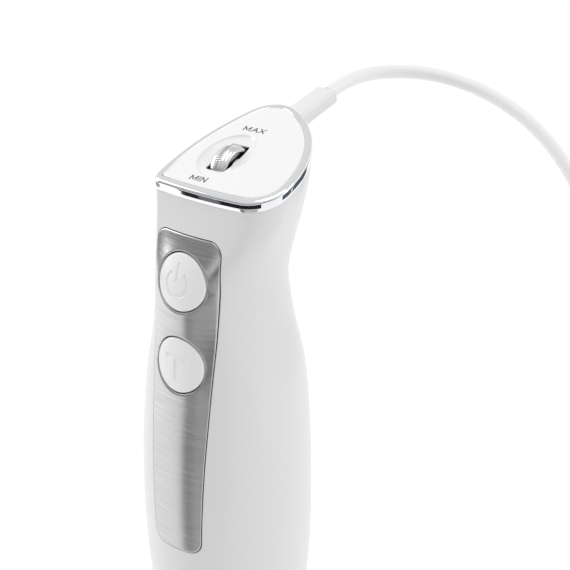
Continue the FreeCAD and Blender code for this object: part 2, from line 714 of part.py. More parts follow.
def make_head():
    band = outline_slab(0, 0, band_height)
    band = band.makeFillet(band_rounding, top_rim(band))
    band = band.cut(outline_slab(band_lip, -1, band_height + 1))
    solids["chrome_band"] = band
    plate = outline_slab(band_lip + fit_gap, 0.1, plate_thickness)
    bowl = Part.makeSphere(1.0)
    stretch = FreeCAD.Matrix()
    stretch.scale(dish_half_width, dish_half_length, dish_depth)
    bowl = in_head(bowl.transformGeometry(stretch))
    slot = in_head(block(-slot_width / 2, slot_width / 2, -slot_length / 2, slot_length / 2, -30, 5))
    axle_middle = vec(0, 0, -wheel_depth)
    wheel_room = Part.makeCylinder(
        wheel_radius + moving_gap, slot_width, axle_middle - vec(slot_width / 2, 0, 0), vec(1, 0, 0))
    solids["top_plate"] = plate.cut(bowl).cut(slot).cut(in_head(wheel_room))
    carrier_bottom = plate_thickness + carrier_thickness
    carrier = outline_slab(wall + band_proud + carrier_gap, plate_thickness, carrier_bottom)
    carrier = carrier.cut(relief_room())
    chord = 2 * math.sqrt(wheel_radius ** 2 - (wheel_depth - carrier_bottom) ** 2)
    reach = chord / 2 + 0.6
    carrier = carrier.cut(in_head(block(-slot_width / 2, slot_width / 2, -reach, reach, -30, 5)))
    ears = []
    low = -wheel_depth - 4
    for s in (-1, 1):
        x0, x1 = sorted((s * slot_width / 2, s * (slot_width / 2 + ear_thickness)))
        ear = in_head(block(x0, x1, -5, 5, low, -plate_thickness))
        ears.append(ear.cut(outline_slab(-5, -5, plate_thickness + 0.2)))
    carrier = together([carrier] + ears)
    bore = Part.makeCylinder(axle_radius + running_gap, 60, vec(-30, 0, -wheel_depth), vec(1, 0, 0))
    solids["wheel_carrier"] = carrier.cut(in_head(bore))

    half = wheel_width / 2
    profile = [vec(-half, 0, axle_radius), vec(half, 0, axle_radius), vec(half, 0, wheel_radius - 1.3),
               vec(half - 1.2, 0, wheel_radius - 0.25), vec(1.1, 0, wheel_radius), vec(-1.1, 0, wheel_radius),
               vec(-half + 1.2, 0, wheel_radius - 0.25), vec(-half, 0, wheel_radius - 1.3)]
    wheel = Part.Face(Part.makePolygon(profile + profile[:1])).revolve(vec(0, 0, 0), vec(1, 0, 0), 360)
    notch = Part.makeCylinder(0.32, 2.2, vec(-1.1, 0, wheel_radius), vec(1, 0, 0))
    for i in range(rib_count):
        cutter = notch.copy()
        cutter.rotate(vec(0, 0, 0), vec(1, 0, 0), 360 / rib_count * i)
        wheel = wheel.cut(cutter)
    wheel.translate(vec(0, 0, -wheel_depth))
    solids["speed_wheel"] = in_head(wheel)
    ear_side = slot_width / 2 + ear_thickness
    pot_start = ear_side + moving_gap
    axle_start = axle_middle - vec(ear_side, 0, 0)
    axle = Part.makeCylinder(axle_radius, ear_side + pot_start + 5, axle_start, vec(1, 0, 0))
    solids["wheel_axle"] = in_head(axle)
    pot_top = -carrier_bottom - 1.2
    body = block(pot_start, pot_start + 6.5, -5.5, 5.5, -wheel_depth - 5.5, pot_top)
    hole_start = axle_middle + vec(pot_start - 0.1, 0, 0)
    hole = Part.makeCylinder(axle_radius + running_gap, 5.2, hole_start, vec(1, 0, 0))
    solids["potentiometer"] = in_head(body.cut(hole))


def top_rim(slab):
    """Edges of the slab's upper face."""
    normal = vec(0, -math.sin(math.radians(head_tilt)), math.cos(math.radians(head_tilt)))
    flat = [f for f in slab.Faces if isinstance(f.Surface, Part.Plane)]
    return max(flat, key=lambda f: f.CenterOfMass.dot(normal)).Edges


# ---- cord, strain relief and plug ----
relief_place = FreeCAD.Placement(vec(relief_offset, relief_back, relief_height_at_back),
                                 FreeCAD.Rotation(vec(1, 0, 0), relief_tilt))


def relief_room():
    """The space of the strain relief and its clamp, for the wheel carrier's notch."""
    half, high = relief_width / 2 + 4, relief_height / 2
    return placed(block(-half, half, -13, 40, -high - 9, high + 2.5), relief_place)


def relief_hole():
    half, high = relief_width / 2 + fit_gap, relief_height / 2 + fit_gap
    return placed(block(-half, half, -relief_inner - 3, 40, -high, high), relief_place)


def make_relief():
    """A block that narrows a little towards the cord, with a clamp behind the shell's wall."""
    half, high = relief_width / 2, relief_height / 2
    ends = []
    for y, taper in ((-relief_inner, 0.0), (relief_reach, relief_taper)):
        x, z = half - taper, high - taper * 2 / 3
        corners = [vec(-x, y, -z), vec(x, y, -z), vec(x, y, z), vec(-x, y, z)]
        ends.append(Part.makePolygon(corners + corners[:1]))
    relief = Part.makeLoft(ends, True, True)
    long_edges = [e for e in relief.Edges if abs(e.Vertexes[0].Y - e.Vertexes[1].Y) > 5]
    solids["strain_relief"] = placed(relief.makeFillet(1.1, long_edges), relief_place)
    wide = half + 3
    clamp = block(-wide, wide, -relief_inner - 3, -relief_inner, -high, high)
    clamp = clamp.fuse(block(-wide, wide, -relief_inner - 6, -relief_inner, high, high + 2))
    inside = handle_solid(wall + fit_gap, handle_bottom + 130, shell_top)
    solids["cord_clamp"] = placed(clamp, relief_place).common(inside)


def make_cord():
    start = relief_place.multVec(vec(0, relief_reach, 0))
    route = [start] + [vec(*p) for p in cord_points]
    tube, length, radii = round_tube(route, cord_diameter / 2)
    solids["mains_cord"] = tube
    print("cord: tube %.0f mm, least radius %.0f mm" % (length, min(radii)))
    print("cord: radii", [round(r) for r in radii])
    share = tube.Volume / (math.pi * cord_diameter ** 2 / 4 * length)
    print("cord: volume is %.4f of section times length" % share)
    print("cord: coil %.0f mm" % (2 * math.pi * coil_radius * coil_turns))
    width = coil_turns / 2 * cord_diameter
    cx, cy = coil_middle
    inner, outer = coil_radius - width / 2, coil_radius + width / 2
    layer = cord_diameter * 2
    coil = turned([(inner, 0.6), (inner + 0.6, 0), (outer - 0.6, 0), (outer, 0.6), (outer, layer - 1.5),
                   (outer - 1.5, layer), (inner + 1.5, layer), (inner, layer - 1.5)])
    coil.translate(vec(cx, cy, 0))
    solids["cord_coil"] = coil
    make_plug(cx + outer - cord_diameter / 2, cy, layer - cord_diameter / 2)


def make_plug(px, coil_y, cord_z):
    """The plug in front of the coil, and the short cord to it from the coil's top turn."""
    width, length, height = plug_size
    middle = height / 2
    back = coil_y - plug_distance
    body = block(px - width / 2, px + width / 2, back - length, back, 0, height)
    body = body.makeFillet(4.0, [e for e in body.Edges if abs(e.Vertexes[0].Z - e.Vertexes[1].Z) > 1])
    flats = [f for f in body.Faces if abs(f.CenterOfMass.z - middle) > middle - 0.5]
    body = body.makeFillet(1.5, [e for f in flats for e in f.Edges])
    neck = Part.makeCone(6.3, 3.6, neck_length_on_plug, vec(px, back - 0.5, middle), vec(0, 1, 0))
    solids["plug_body"] = body.fuse(neck).removeSplitter()
    pins = []
    for x in (px - pin_spacing / 2, px + pin_spacing / 2):
        tip = vec(x, back - length - pin_length, middle)
        pin = Part.makeCylinder(pin_radius, pin_length, tip, vec(0, 1, 0))
        pins.append(pin.makeFillet(0.8, [min(pin.Edges, key=lambda e: e.CenterOfMass.y)]))
    solids["plug_pins"] = Part.makeCompound(pins)
    end = back + neck_length_on_plug - 0.5
    route = [vec(px, coil_y, cord_z), vec(px, (coil_y + end) / 2, cord_z), vec(px, end, middle)]
    solids["cord_tail"] = round_tube(route, cord_diameter / 2)[0]


def round_tube(points, radius):
    """A tube along straight runs joined by tangent arcs, with its length and its arcs' radii."""
    edges, radii, length = [], [], 0.0
    last = points[0]
    for i in range(1, len(points) - 1):
        a, b, c = points[i - 1], points[i], points[i + 1]
        one, two = (b - a), (c - b)
        turn = one.getAngle(two)
        cut = 0.45 * min(one.Length, two.Length)
        radii.append(cut / math.tan(turn / 2))
        p = b - one * (cut / one.Length)
        q = b + two * (cut / two.Length)
        toward = (two * (1 / two.Length) - one * (1 / one.Length)).normalize()
        away = radii[-1] / math.cos(turn / 2) - radii[-1]
        middle = b + toward * away
        edges += [Part.LineSegment(last, p).toShape(), Part.Arc(p, middle, q).toShape()]
        length += (p - last).Length + radii[-1] * turn
        last = q
    edges.append(Part.LineSegment(last, points[-1]).toShape())
    length += (points[-1] - last).Length
    path = Part.Wire(edges)
    start = Part.Wire([Part.makeCircle(radius, points[0], points[1] - points[0])])
    return path.makePipeShell([start], True, True), length, radii


def make_release_buttons():
    outer = grip_sizes(release_height)[0] + release_proud
    inner = spigot_radius + spigot_gap + moving_gap + release_travel
    solids["left_release_button"] = release_blank(-1, 0, inner, outer)
    solids["right_release_button"] = release_blank(1, 0, inner, outer)


def main():
    os.makedirs("parts", exist_ok=True)
    make_shaft()
    make_blade()
    motor_top = make_motor()
    make_shell()
    make_panel()
    make_electronics(motor_top)
    make_head()
    make_relief()
    make_cord()
    make_release_buttons()
    for name, shape in solids.items():
        if not shape.isValid() or shape.Volume <= 0:
            print("not valid:", name)
        shape.exportStep("parts/%s.step" % name)
    print(len(solids), "nodes")


main()
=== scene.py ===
import bpy
import bmesh
import json
import math
import numpy as np
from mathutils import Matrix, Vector


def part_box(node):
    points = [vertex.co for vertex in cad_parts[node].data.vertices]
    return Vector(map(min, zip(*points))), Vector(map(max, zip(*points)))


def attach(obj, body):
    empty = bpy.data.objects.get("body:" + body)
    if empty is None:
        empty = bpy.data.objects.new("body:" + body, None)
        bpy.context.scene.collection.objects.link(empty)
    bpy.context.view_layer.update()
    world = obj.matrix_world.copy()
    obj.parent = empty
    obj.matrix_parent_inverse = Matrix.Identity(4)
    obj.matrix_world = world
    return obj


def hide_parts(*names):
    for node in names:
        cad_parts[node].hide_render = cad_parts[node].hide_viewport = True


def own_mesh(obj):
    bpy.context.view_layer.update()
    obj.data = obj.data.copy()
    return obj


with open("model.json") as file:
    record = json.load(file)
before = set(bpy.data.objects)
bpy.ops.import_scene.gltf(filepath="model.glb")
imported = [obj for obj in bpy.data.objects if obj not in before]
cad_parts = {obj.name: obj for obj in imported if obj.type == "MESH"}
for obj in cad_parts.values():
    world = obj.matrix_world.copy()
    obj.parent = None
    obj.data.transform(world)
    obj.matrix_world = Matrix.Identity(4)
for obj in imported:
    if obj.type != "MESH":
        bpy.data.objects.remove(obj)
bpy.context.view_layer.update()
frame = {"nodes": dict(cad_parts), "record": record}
mm = 0.001      # shapes are worked out in millimetres, and meshes are made in metres

print("stage 1: sizes and helpers")

# sizes that the surfaces below share with the CAD parts
head = {
    "tilt": 17.5,
    "setback": 4.0,
    "corners": [(-13.6, -16.9, 4.5), (20.2, -10.3, 12.5), (1.2, 24.0, 11.5)],   # right, back, radius
    "sideRadii": [220.0, 50.0, 95.0],
    "middle": (5.0, 2.0),
    "bandHeight": 3.7,
    "bandLip": 2.7,
    "bandProud": 0.3,
}
handle = {
    "bottom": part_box("handle_shell")[0].z / mm,
    "length": 215.3,
    "waistDrop": 39.3,
    "neck": 6.0,
    "gripRadius": 32.9,
    "wall": 2.4,
    # share of the way up to the waist, then half width, front and back depth, each beyond gripRadius
    "stations": [(0.0, -6.4, -6.4, -6.4), (0.17, -2.5, -2.5, -2.5), (0.32, -0.5, -0.6, -0.6),
                 (0.47, 0.0, -0.3, -0.1), (0.61, -0.9, -1.7, 0.5), (0.76, -3.6, -4.7, 0.3),
                 (0.89, -8.0, -6.7, -5.3), (1.0, -9.3, -7.3, -11.3)],
}
tilt = math.radians(head["tilt"])
headHeight = handle["bottom"] + handle["length"]
waistHeight = headHeight - handle["waistDrop"]
neckHeight = waistHeight - handle["neck"]
shellTop = headHeight - head["setback"] * math.tan(tilt) - head["bandHeight"]


def gridFaces(rows, columns, start, keep=None):
    # Quads between neighbouring points of a grid whose first vertex is start.
    i, j = np.meshgrid(np.arange(rows - 1), np.arange(columns - 1), indexing="ij")
    corner = start + i * columns + j
    quads = np.stack([corner, corner + 1, corner + columns + 1, corner + columns], axis=-1)
    if keep is not None:
        return quads[keep]
    return quads.reshape(-1, 4)


def meshFromGrids(name, grids, sharpAngle=35.0):
    # One mesh from several grids of points in mm: points that meet are joined, normals face outwards.
    # A grid may be a pair, its points and a mask of the quads to keep.
    points, faces, start = [], [], 0
    for grid in grids:
        keep = None
        if isinstance(grid, tuple):
            grid, keep = grid
        rows, columns = grid.shape[:2]
        points.append(grid.reshape(-1, 3) * mm)
        faces.append(gridFaces(rows, columns, start, keep))
        start += rows * columns
    mesh = bpy.data.meshes.new(name)
    mesh.from_pydata(np.concatenate(points).tolist(), [], np.concatenate(faces).tolist())
    work = bmesh.new()
    work.from_mesh(mesh)
    bmesh.ops.remove_doubles(work, verts=work.verts, dist=2e-6)
    loose = [v for v in work.verts if not v.link_faces]
    bmesh.ops.delete(work, geom=loose, context="VERTS")
    bmesh.ops.recalc_face_normals(work, faces=work.faces)
    unpaired = sum(1 for e in work.edges if len(e.link_faces) != 2)
    work.to_mesh(mesh)
    work.free()
    mesh.shade_smooth()
    mesh.set_sharp_from_angle(angle=math.radians(sharpAngle))
    print("  ", name, len(mesh.polygons), "faces,", unpaired, "edges not shared by two")
    return mesh


def addPiece(name, mesh, material, body, nodes=()):
    # An object at the origin that rides on a body and stands for CAD nodes.
    piece = bpy.data.objects.new(name, mesh)
    bpy.context.scene.collection.objects.link(piece)
    mesh.materials.clear()
    mesh.materials.append(material)
    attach(piece, body)
    if nodes:
        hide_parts(*nodes)
    return piece


def lathe(profile, columns=96, centre=(0.0, 0.0, 0.0), axis="z", ripple=None):
    # A closed profile of (radius, height) corners carried round an axis, as one grid.
    radius, height = np.array(profile, float).T
    angle = np.linspace(0, 2 * math.pi, columns + 1)
    angle[-1] = 0.0
    r = radius[:, None] + (0 if ripple is None else ripple(radius[:, None], height[:, None],
            angle[None, :]))
    r = np.broadcast_to(r, (len(radius), columns + 1))
    along = np.broadcast_to(height[:, None], r.shape)
    across = r * np.cos(angle)[None, :], r * np.sin(angle)[None, :]
    order = {"z": (across[0], across[1], along), "x": (along, across[0], across[1]),
             "y": (across[0], along, -across[1])}
    return np.stack(order[axis], axis=-1) + np.array(centre)


def softened(corners, radius, steps=5, closed=True):
    # A polygon with each corner rounded by an arc. radius is one number or one for each corner.
    points = np.array(corners, float)
    count = len(points)
    radii = np.broadcast_to(radius, (count,))
    line = []
    for i in range(count):
        here = points[i]
        if radii[i] <= 0 or (not closed and i in (0, count - 1)):
            line.append(here)
            continue
        a = points[i - 1] - here
        b = points[(i + 1) % count] - here
        la, lb = np.linalg.norm(a), np.linalg.norm(b)
        a, b = a / la, b / lb
        half = math.acos(max(-1.0, min(1.0, float(a @ b)))) / 2
        if half > 1.56:
            line.append(here)
            continue
        reach = min(radii[i] / math.tan(half), 0.48 * la, 0.48 * lb)
        r = reach * math.tan(half)
        middle = here + (a + b) / np.linalg.norm(a + b) * (r / math.sin(half))
        start, end = here + a * reach - middle, here + b * reach - middle
        for k in range(steps + 1):
            t = k / steps
            sweep = math.pi - 2 * half
            mix = math.sin((1 - t) * sweep) * start + math.sin(t * sweep) * end
            line.append(middle + mix / math.sin(sweep))
    if closed:
        line.append(line[0])
    return np.array(line)


def smooth(t):
    t = np.clip(t, 0.0, 1.0)
    return t * t * (3 - 2 * t)


# the handle's surface
def outlineArcs():
    # Three corner arcs joined by three long side arcs: middle, radius, first and last angle.
    corners, sides = head["corners"], head["sideRadii"]
    middle = [sum(c[i] for c in corners) / 3 for i in (0, 1)]
    sideArcs = []
    for i in range(3):
        (x0, y0, r0), (x1, y1, r1) = corners[i], corners[(i + 1) % 3]
        gap = math.hypot(x1 - x0, y1 - y0)
        along = ((sides[i] - r0) ** 2 - (sides[i] - r1) ** 2 + gap ** 2) / (2 * gap)
        out = math.sqrt((sides[i] - r0) ** 2 - along ** 2)
        ux, uy = (x1 - x0) / gap, (y1 - y0) / gap
        x, y = x0 + ux * along, y0 + uy * along
        if (middle[0] - x) * -uy + (middle[1] - y) * ux < 0:
            out = -out
        x, y = x - uy * out, y + ux * out
        sideArcs.append(((x, y), sides[i], math.atan2(y0 - y, x0 - x), math.atan2(y1 - y, x1 - x)))
    arcs = []
    for i in range(3):
        x, y, r = corners[i]
        arcs.append(((x, y), r, sideArcs[i - 1][3], sideArcs[i][2]))
        arcs.append(sideArcs[i])
    return [(m, r, a, b if b > a else b + 2 * math.pi) for m, r, a, b in arcs]


arcs = outlineArcs()


def outlineLoop(inset, cornerSteps=36, sideSteps=44):
    # Points of the head's outline on the plate, moved in by inset, as an array of right and back.
    line = []
    for n, ((mx, my), r, a, b) in enumerate(arcs):
        t = np.linspace(a, b, (sideSteps if n % 2 else cornerSteps) + 1)[:-1]
        line.append(np.stack([mx + (r - inset) * np.cos(t), my + (r - inset) * np.sin(t)], axis=-1))
    line = np.concatenate(line)
    return np.concatenate([line, line[:1]])


def outlineReach(angle, inset):
    # Distance from the head's middle to its outline, in directions on the plate.
    cx, cy = head["middle"]
    ux, uy = np.cos(angle), np.sin(angle)
    best = np.zeros(np.broadcast(angle, inset).shape)
    for (mx, my), r, a, b in arcs:
        wx, wy = cx - mx, cy - my
        half = wx * ux + wy * uy
        inside = half ** 2 - (wx ** 2 + wy ** 2 - (r - inset) ** 2)
        s = -half + np.sqrt(np.maximum(inside, 0))
        turn = np.arctan2(cy + s * uy - my, cx + s * ux - mx)
        turn = a + np.mod(turn - a + 1e-6, 2 * math.pi) - 1e-6
        best = np.where((inside >= 0) & (turn <= b + 1e-6), np.maximum(best, s), best)
    return best


def platePoint(x, y, sunk=0.0):
    # From right and back on the top plate to the object's frame, sunk straight down.
    x, y, sunk = np.broadcast_arrays(x, y, sunk)
    return np.stack([x, head["setback"] + y * math.cos(tilt), headHeight + y * math.sin(tilt) - sunk],
                    axis=-1)


def inPlate(points):
    # From the plate's own frame (right, back, up from its top) to the object's frame.
    x, y, z = points[..., 0], points[..., 1], points[..., 2]
    return np.stack([x, head["setback"] + y * math.cos(tilt) - z * math.sin(tilt),
                     headHeight + y * math.sin(tilt) + z * math.cos(tilt)], axis=-1)


def gripSizes(height):
    # Half width, front and back depth at each height: a cubic through the stations.
    table = np.array(handle["stations"])
    s, v = table[:, 0], table[:, 1:]
    slope = np.empty_like(v)
    slope[1:-1] = (v[2:] - v[:-2]) / (s[2:] - s[:-2])[:, None]
    slope[0], slope[-1] = (v[1] - v[0]) / (s[1] - s[0]), (v[-1] - v[-2]) / (s[-1] - s[-2])
    share = np.clip((height - handle["bottom"]) / (waistHeight - handle["bottom"]), 0, 1)
    i = np.clip(np.searchsorted(s, share) - 1, 0, len(s) - 2)
    step = s[i + 1] - s[i]
    t = ((share - s[i]) / step)[..., None]
    step = step[..., None]
    value = (2 * t ** 3 - 3 * t ** 2 + 1) * v[i] + (t ** 3 - 2 * t ** 2 + t) * slope[i] * step
    value += (3 * t ** 2 - 2 * t ** 3) * v[i + 1] + (t ** 3 - t ** 2) * slope[i + 1] * step
    return handle["gripRadius"] + value


def handlePoint(angle, height, inset=0.0):
    # The handle's surface: an egg below the neck, the head's outline at the top, moved in by inset.
    angle, height, inset = np.broadcast_arrays(angle, height, inset)
    sizes = gripSizes(height) - inset[..., None]
    half, front, back = sizes[..., 0], sizes[..., 1], sizes[..., 2]
    mean, lean = (front + back) / 2, (back - front) / 2
    x, y = half * np.cos(angle), (mean + lean * np.sin(angle)) * np.sin(angle)
    share = smooth((height - neckHeight) / (shellTop - neckHeight))
    reach = outlineReach(angle, inset + head["bandProud"])
    top = platePoint(head["middle"][0] + reach * np.cos(angle), head["middle"][1] + reach * np.sin(angle))
    x, y = x + (top[..., 0] - x) * share, y + (top[..., 1] - y) * share
    return np.stack([x, y, height + math.tan(tilt) * share * y], axis=-1)


def findOnHandle(u, v, base, across, up, startAngle, inset=0.0):
    # Angle and height of the surface points that lie at u, v on a plane through base, seen square to it.
    # Newton's method with slopes from small steps.
    base, across, up = np.array(base, float), np.array(across, float), np.array(up, float)
    angle = np.full(np.shape(u), float(startAngle))
    height = np.full(np.shape(u), float(base[2])) + v
    small = 1e-4

    def miss(a, h):
        p = handlePoint(a, h, inset) - base
        return p @ across - u, p @ up - v

    for _ in range(9):
        mu, mv = miss(angle, height)
        au, av = miss(angle + small, height)
        hu, hv = miss(angle, height + small)
        a11, a21, a12, a22 = (au - mu) / small, (av - mv) / small, (hu - mu) / small, (hv - mv) / small
        det = a11 * a22 - a12 * a21
        angle = angle - np.clip((mu * a22 - mv * a12) / det, -0.3, 0.3)
        height = height - np.clip((mv * a11 - mu * a21) / det, -8, 8)
    return angle, height


def sideLoop(corners, radii, counts, arcSteps=6):
    # A four-sided outline with rounded corners as one closed loop that starts at the middle of the
    # first corner. counts is the number of steps along each side, halves of its two corners included.
    points = np.array(corners, float)
    cornerArcs = []
    for i in range(4):
        here, a, b = points[i], points[i - 1] - points[i], points[(i + 1) % 4] - points[i]
        a, b = a / np.linalg.norm(a), b / np.linalg.norm(b)
        if radii[i] <= 0:
            cornerArcs.append((here[None], here[None]))
            continue
        half = math.acos(float(a @ b)) / 2
        middle = here + (a + b) / np.linalg.norm(a + b) * (radii[i] / math.sin(half))
        start = here + a * radii[i] / math.tan(half) - middle
        end = here + b * radii[i] / math.tan(half) - middle
        sweep = math.pi - 2 * half
        t = np.linspace(0, 1, 2 * arcSteps + 1)[:, None]
        arc = middle + (np.sin((1 - t) * sweep) * start + np.sin(t * sweep) * end) / math.sin(sweep)
        cornerArcs.append((arc[:arcSteps + 1], arc[arcSteps:]))
    loop = []
    for i in range(4):
        leave, arrive = cornerArcs[i][1], cornerArcs[(i + 1) % 4][0]
        left = counts[i] - (len(leave) - 1) - (len(arrive) - 1)
        if left > 0:
            t = np.linspace(0, 1, left + 1)[1:-1, None]
            straight = leave[-1] + (arrive[0] - leave[-1]) * t
        else:
            straight, arrive = np.zeros((0, 2)), arrive[1:]
        loop.append(np.concatenate([leave, straight, arrive])[:-1])
    loop = np.concatenate(loop)
    return np.concatenate([loop, loop[:1]])


def pillLoop(half, rise, counts):
    # A pill-shaped outline: two half circles whose middles stand rise above and below the middle.
    quarter = math.pi / 4
    arc = lambda a, b, z: np.stack([half * np.cos(np.linspace(a, b, 24)),
                                    z + half * np.sin(np.linspace(a, b, 24))], axis=-1)
    sides = [arc(-3 * quarter, -quarter, -rise), np.concatenate([arc(-quarter, 0, -rise),
            arc(0, quarter, rise)]),
             arc(quarter, 3 * quarter, rise), np.concatenate([arc(3 * quarter, math.pi, rise),
                     arc(math.pi, 5 * quarter, -rise)])]
    loop = []
    for side, count in zip(sides, counts):
        run = np.concatenate([[0], np.cumsum(np.linalg.norm(np.diff(side, axis=0), axis=1))])
        at = np.linspace(0, run[-1], count + 1)[:-1]
        loop.append(np.stack([np.interp(at, run, side[:, i]) for i in (0, 1)], axis=-1))
    loop = np.concatenate(loop)
    return np.concatenate([loop, loop[:1]])


def circleLoop(counts):
    # Directions round a circle, with the given number of steps in each quarter, from lower left.
    turns = [np.linspace(-0.75 + 0.5 * i, -0.25 + 0.5 * i, n + 1)[:-1] for i, n in enumerate(counts)]
    turns = np.concatenate(turns)
    turns = np.concatenate([turns, turns[:1]]) * math.pi
    return np.stack([np.cos(turns), np.sin(turns)], axis=-1)


def loopNormals(loop):
    # Outward directions of a closed counter-clockwise loop whose last point repeats the first.
    inner = loop[:-1]
    run = np.roll(inner, -1, axis=0) - np.roll(inner, 1, axis=0)
    run /= np.linalg.norm(run, axis=1)[:, None]
    normal = np.stack([run[:, 1], -run[:, 0]], axis=-1)
    return np.concatenate([normal, normal[:1]])


def between(first, last, shares):
    # Loops between two loops, one for each share of the way.
    shares = np.array(shares)[:, None, None]
    return first[None] * (1 - shares) + last[None] * shares


print("stage 2: camera, floor and light")

view = {
    "turn": 34.5, "rise": 24.0, "aim": (0.0, 0.0, 337.0), "shiftRight": 22.4, "distance": 398.7,
    "lens": 69.5,
}


def makeCamera():
    turn, rise = math.radians(view["turn"]), math.radians(view["rise"])
    right = Vector((math.cos(turn), math.sin(turn), 0))
    back = Vector((math.sin(turn) * math.cos(rise), -math.cos(turn) * math.cos(rise), math.sin(rise)))
    camera = bpy.data.objects.new("camera", bpy.data.cameras.new("camera"))
    camera.data.lens = view["lens"]
    camera.data.sensor_width = 36.0
    camera.data.clip_start = 0.02
    camera.data.clip_end = 60.0
    camera.location = (Vector(view["aim"]) + right * view["shiftRight"] + back * view["distance"]) * mm
    camera.rotation_mode = "QUATERNION"
    camera.rotation_quaternion = back.to_track_quat("Z", "Y")
    bpy.context.scene.collection.objects.link(camera)
    bpy.context.scene.camera = camera


makeCamera()


def newMaterial(name):
    material = bpy.data.materials.new(name)
    material.use_nodes = True
    nodes, links = material.node_tree.nodes, material.node_tree.links
    shader = nodes["Principled BSDF"]
    return material, nodes, links, shader


def objectTexture(nodes, links, kind, stretch, scale, detail=2.0):
    # A Noise or Voronoi texture on Object coordinates, stretched along each axis.
    where = nodes.new("ShaderNodeTexCoord")
    place = nodes.new("ShaderNodeMapping")
    place.inputs["Scale"].default_value = stretch
    texture = nodes.new("ShaderNodeTex" + kind)
    texture.inputs["Scale"].default_value = scale
    if "Detail" in texture.inputs:
        texture.inputs["Detail"].default_value = detail
    links.new(where.outputs["Object"], place.inputs["Vector"])
    links.new(place.outputs["Vector"], texture.inputs["Vector"])
    return texture


def spread(nodes, links, value, low, high):
    # A 0 to 1 value turned into a range.
    ranged = nodes.new("ShaderNodeMapRange")
    ranged.interpolation_type = "SMOOTHSTEP"
    ranged.inputs["From Min"].default_value = 0.1
    ranged.inputs["From Max"].default_value = 0.9
    ranged.inputs["To Min"].default_value = low
    ranged.inputs["To Max"].default_value = high
    links.new(value, ranged.inputs["Value"])
    return ranged.outputs["Result"]


def tones(nodes, links, value, dark, light):
    # A colour between two tones.
    ramp = nodes.new("ShaderNodeValToRGB")
    ramp.color_ramp.interpolation = "EASE"
    ramp.color_ramp.elements[0].position = 0.1
    ramp.color_ramp.elements[1].position = 0.9
    ramp.color_ramp.elements[0].color = (*dark, 1)
    ramp.color_ramp.elements[1].color = (*light, 1)
    links.new(value, ramp.inputs["Fac"])
    return ramp.outputs["Color"]


def bump(nodes, links, shader, height, distance, strength=1.0):
    node = nodes.new("ShaderNodeBump")
    node.inputs["Strength"].default_value = strength
    node.inputs["Distance"].default_value = distance
    links.new(height, node.inputs["Height"])
    links.new(node.outputs["Normal"], shader.inputs["Normal"])


def plastic(name, dark, light, gloss, grain, grainSize, coat=0.0):
    # Moulded plastic: a very fine grain, tone and gloss that drift a little over the surface.
    material, nodes, links, shader = newMaterial(name)
    drift = objectTexture(nodes, links, "Noise", (1, 1, 1), 16.0, 1.0)
    links.new(tones(nodes, links, drift.outputs["Fac"], dark, light), shader.inputs["Base Color"])
    fine = objectTexture(nodes, links, "Noise", (1, 1, 1), grainSize, 2.0)
    links.new(spread(nodes, links, drift.outputs["Fac"], gloss[0], gloss[1]), shader.inputs["Roughness"])
    bump(nodes, links, shader, fine.outputs["Fac"], grain * mm, 0.5)
    shader.inputs["IOR"].default_value = 1.5
    shader.inputs["Coat Weight"].default_value = coat
    shader.inputs["Coat Roughness"].default_value = 0.08
    return material


def brushed(name, dark, light, gloss, stretch, depth, anisotropy=0.0):
    # Metal with fine lines: noise stretched along them drives tone, gloss and bump.
    material, nodes, links, shader = newMaterial(name)
    shader.inputs["Metallic"].default_value = 1.0
    shader.inputs["Anisotropic"].default_value = anisotropy
    lines = objectTexture(nodes, links, "Noise", stretch, 1.0, 4.0)
    links.new(tones(nodes, links, lines.outputs["Fac"], dark, light), shader.inputs["Base Color"])
    links.new(spread(nodes, links, lines.outputs["Fac"], gloss[0], gloss[1]), shader.inputs["Roughness"])
    bump(nodes, links, shader, lines.outputs["Fac"], depth * mm, 0.6)
    return material


def plated(name, dark, light, gloss, peelDepth=0.002):
    # Chrome plating: nearly a mirror, with the faintest haze and orange peel.
    material, nodes, links, shader = newMaterial(name)
    shader.inputs["Metallic"].default_value = 1.0
    haze = objectTexture(nodes, links, "Noise", (1, 1, 1), 60.0, 3.0)
    peel = objectTexture(nodes, links, "Noise", (1, 1, 1), 350.0, 1.0)
    links.new(tones(nodes, links, haze.outputs["Fac"], dark, light), shader.inputs["Base Color"])
    links.new(spread(nodes, links, haze.outputs["Fac"], gloss[0], gloss[1]), shader.inputs["Roughness"])
    bump(nodes, links, shader, peel.outputs["Fac"], peelDepth * mm, 0.3)
    return material


def stageMaterial(name, color, glow=0.0):
    material, nodes, links, shader = newMaterial(name)
    soft = objectTexture(nodes, links, "Noise", (1, 1, 1), 2.0, 1.0)
    shade = tuple(c * 0.985 for c in color)
    links.new(tones(nodes, links, soft.outputs["Fac"], shade, color), shader.inputs["Base Color"])
    shader.inputs["Roughness"].default_value = 0.9
    shader.inputs["Specular IOR Level"].default_value = 0.1
    shader.inputs["Emission Color"].default_value = (*color, 1)
    shader.inputs["Emission Strength"].default_value = glow
    return material


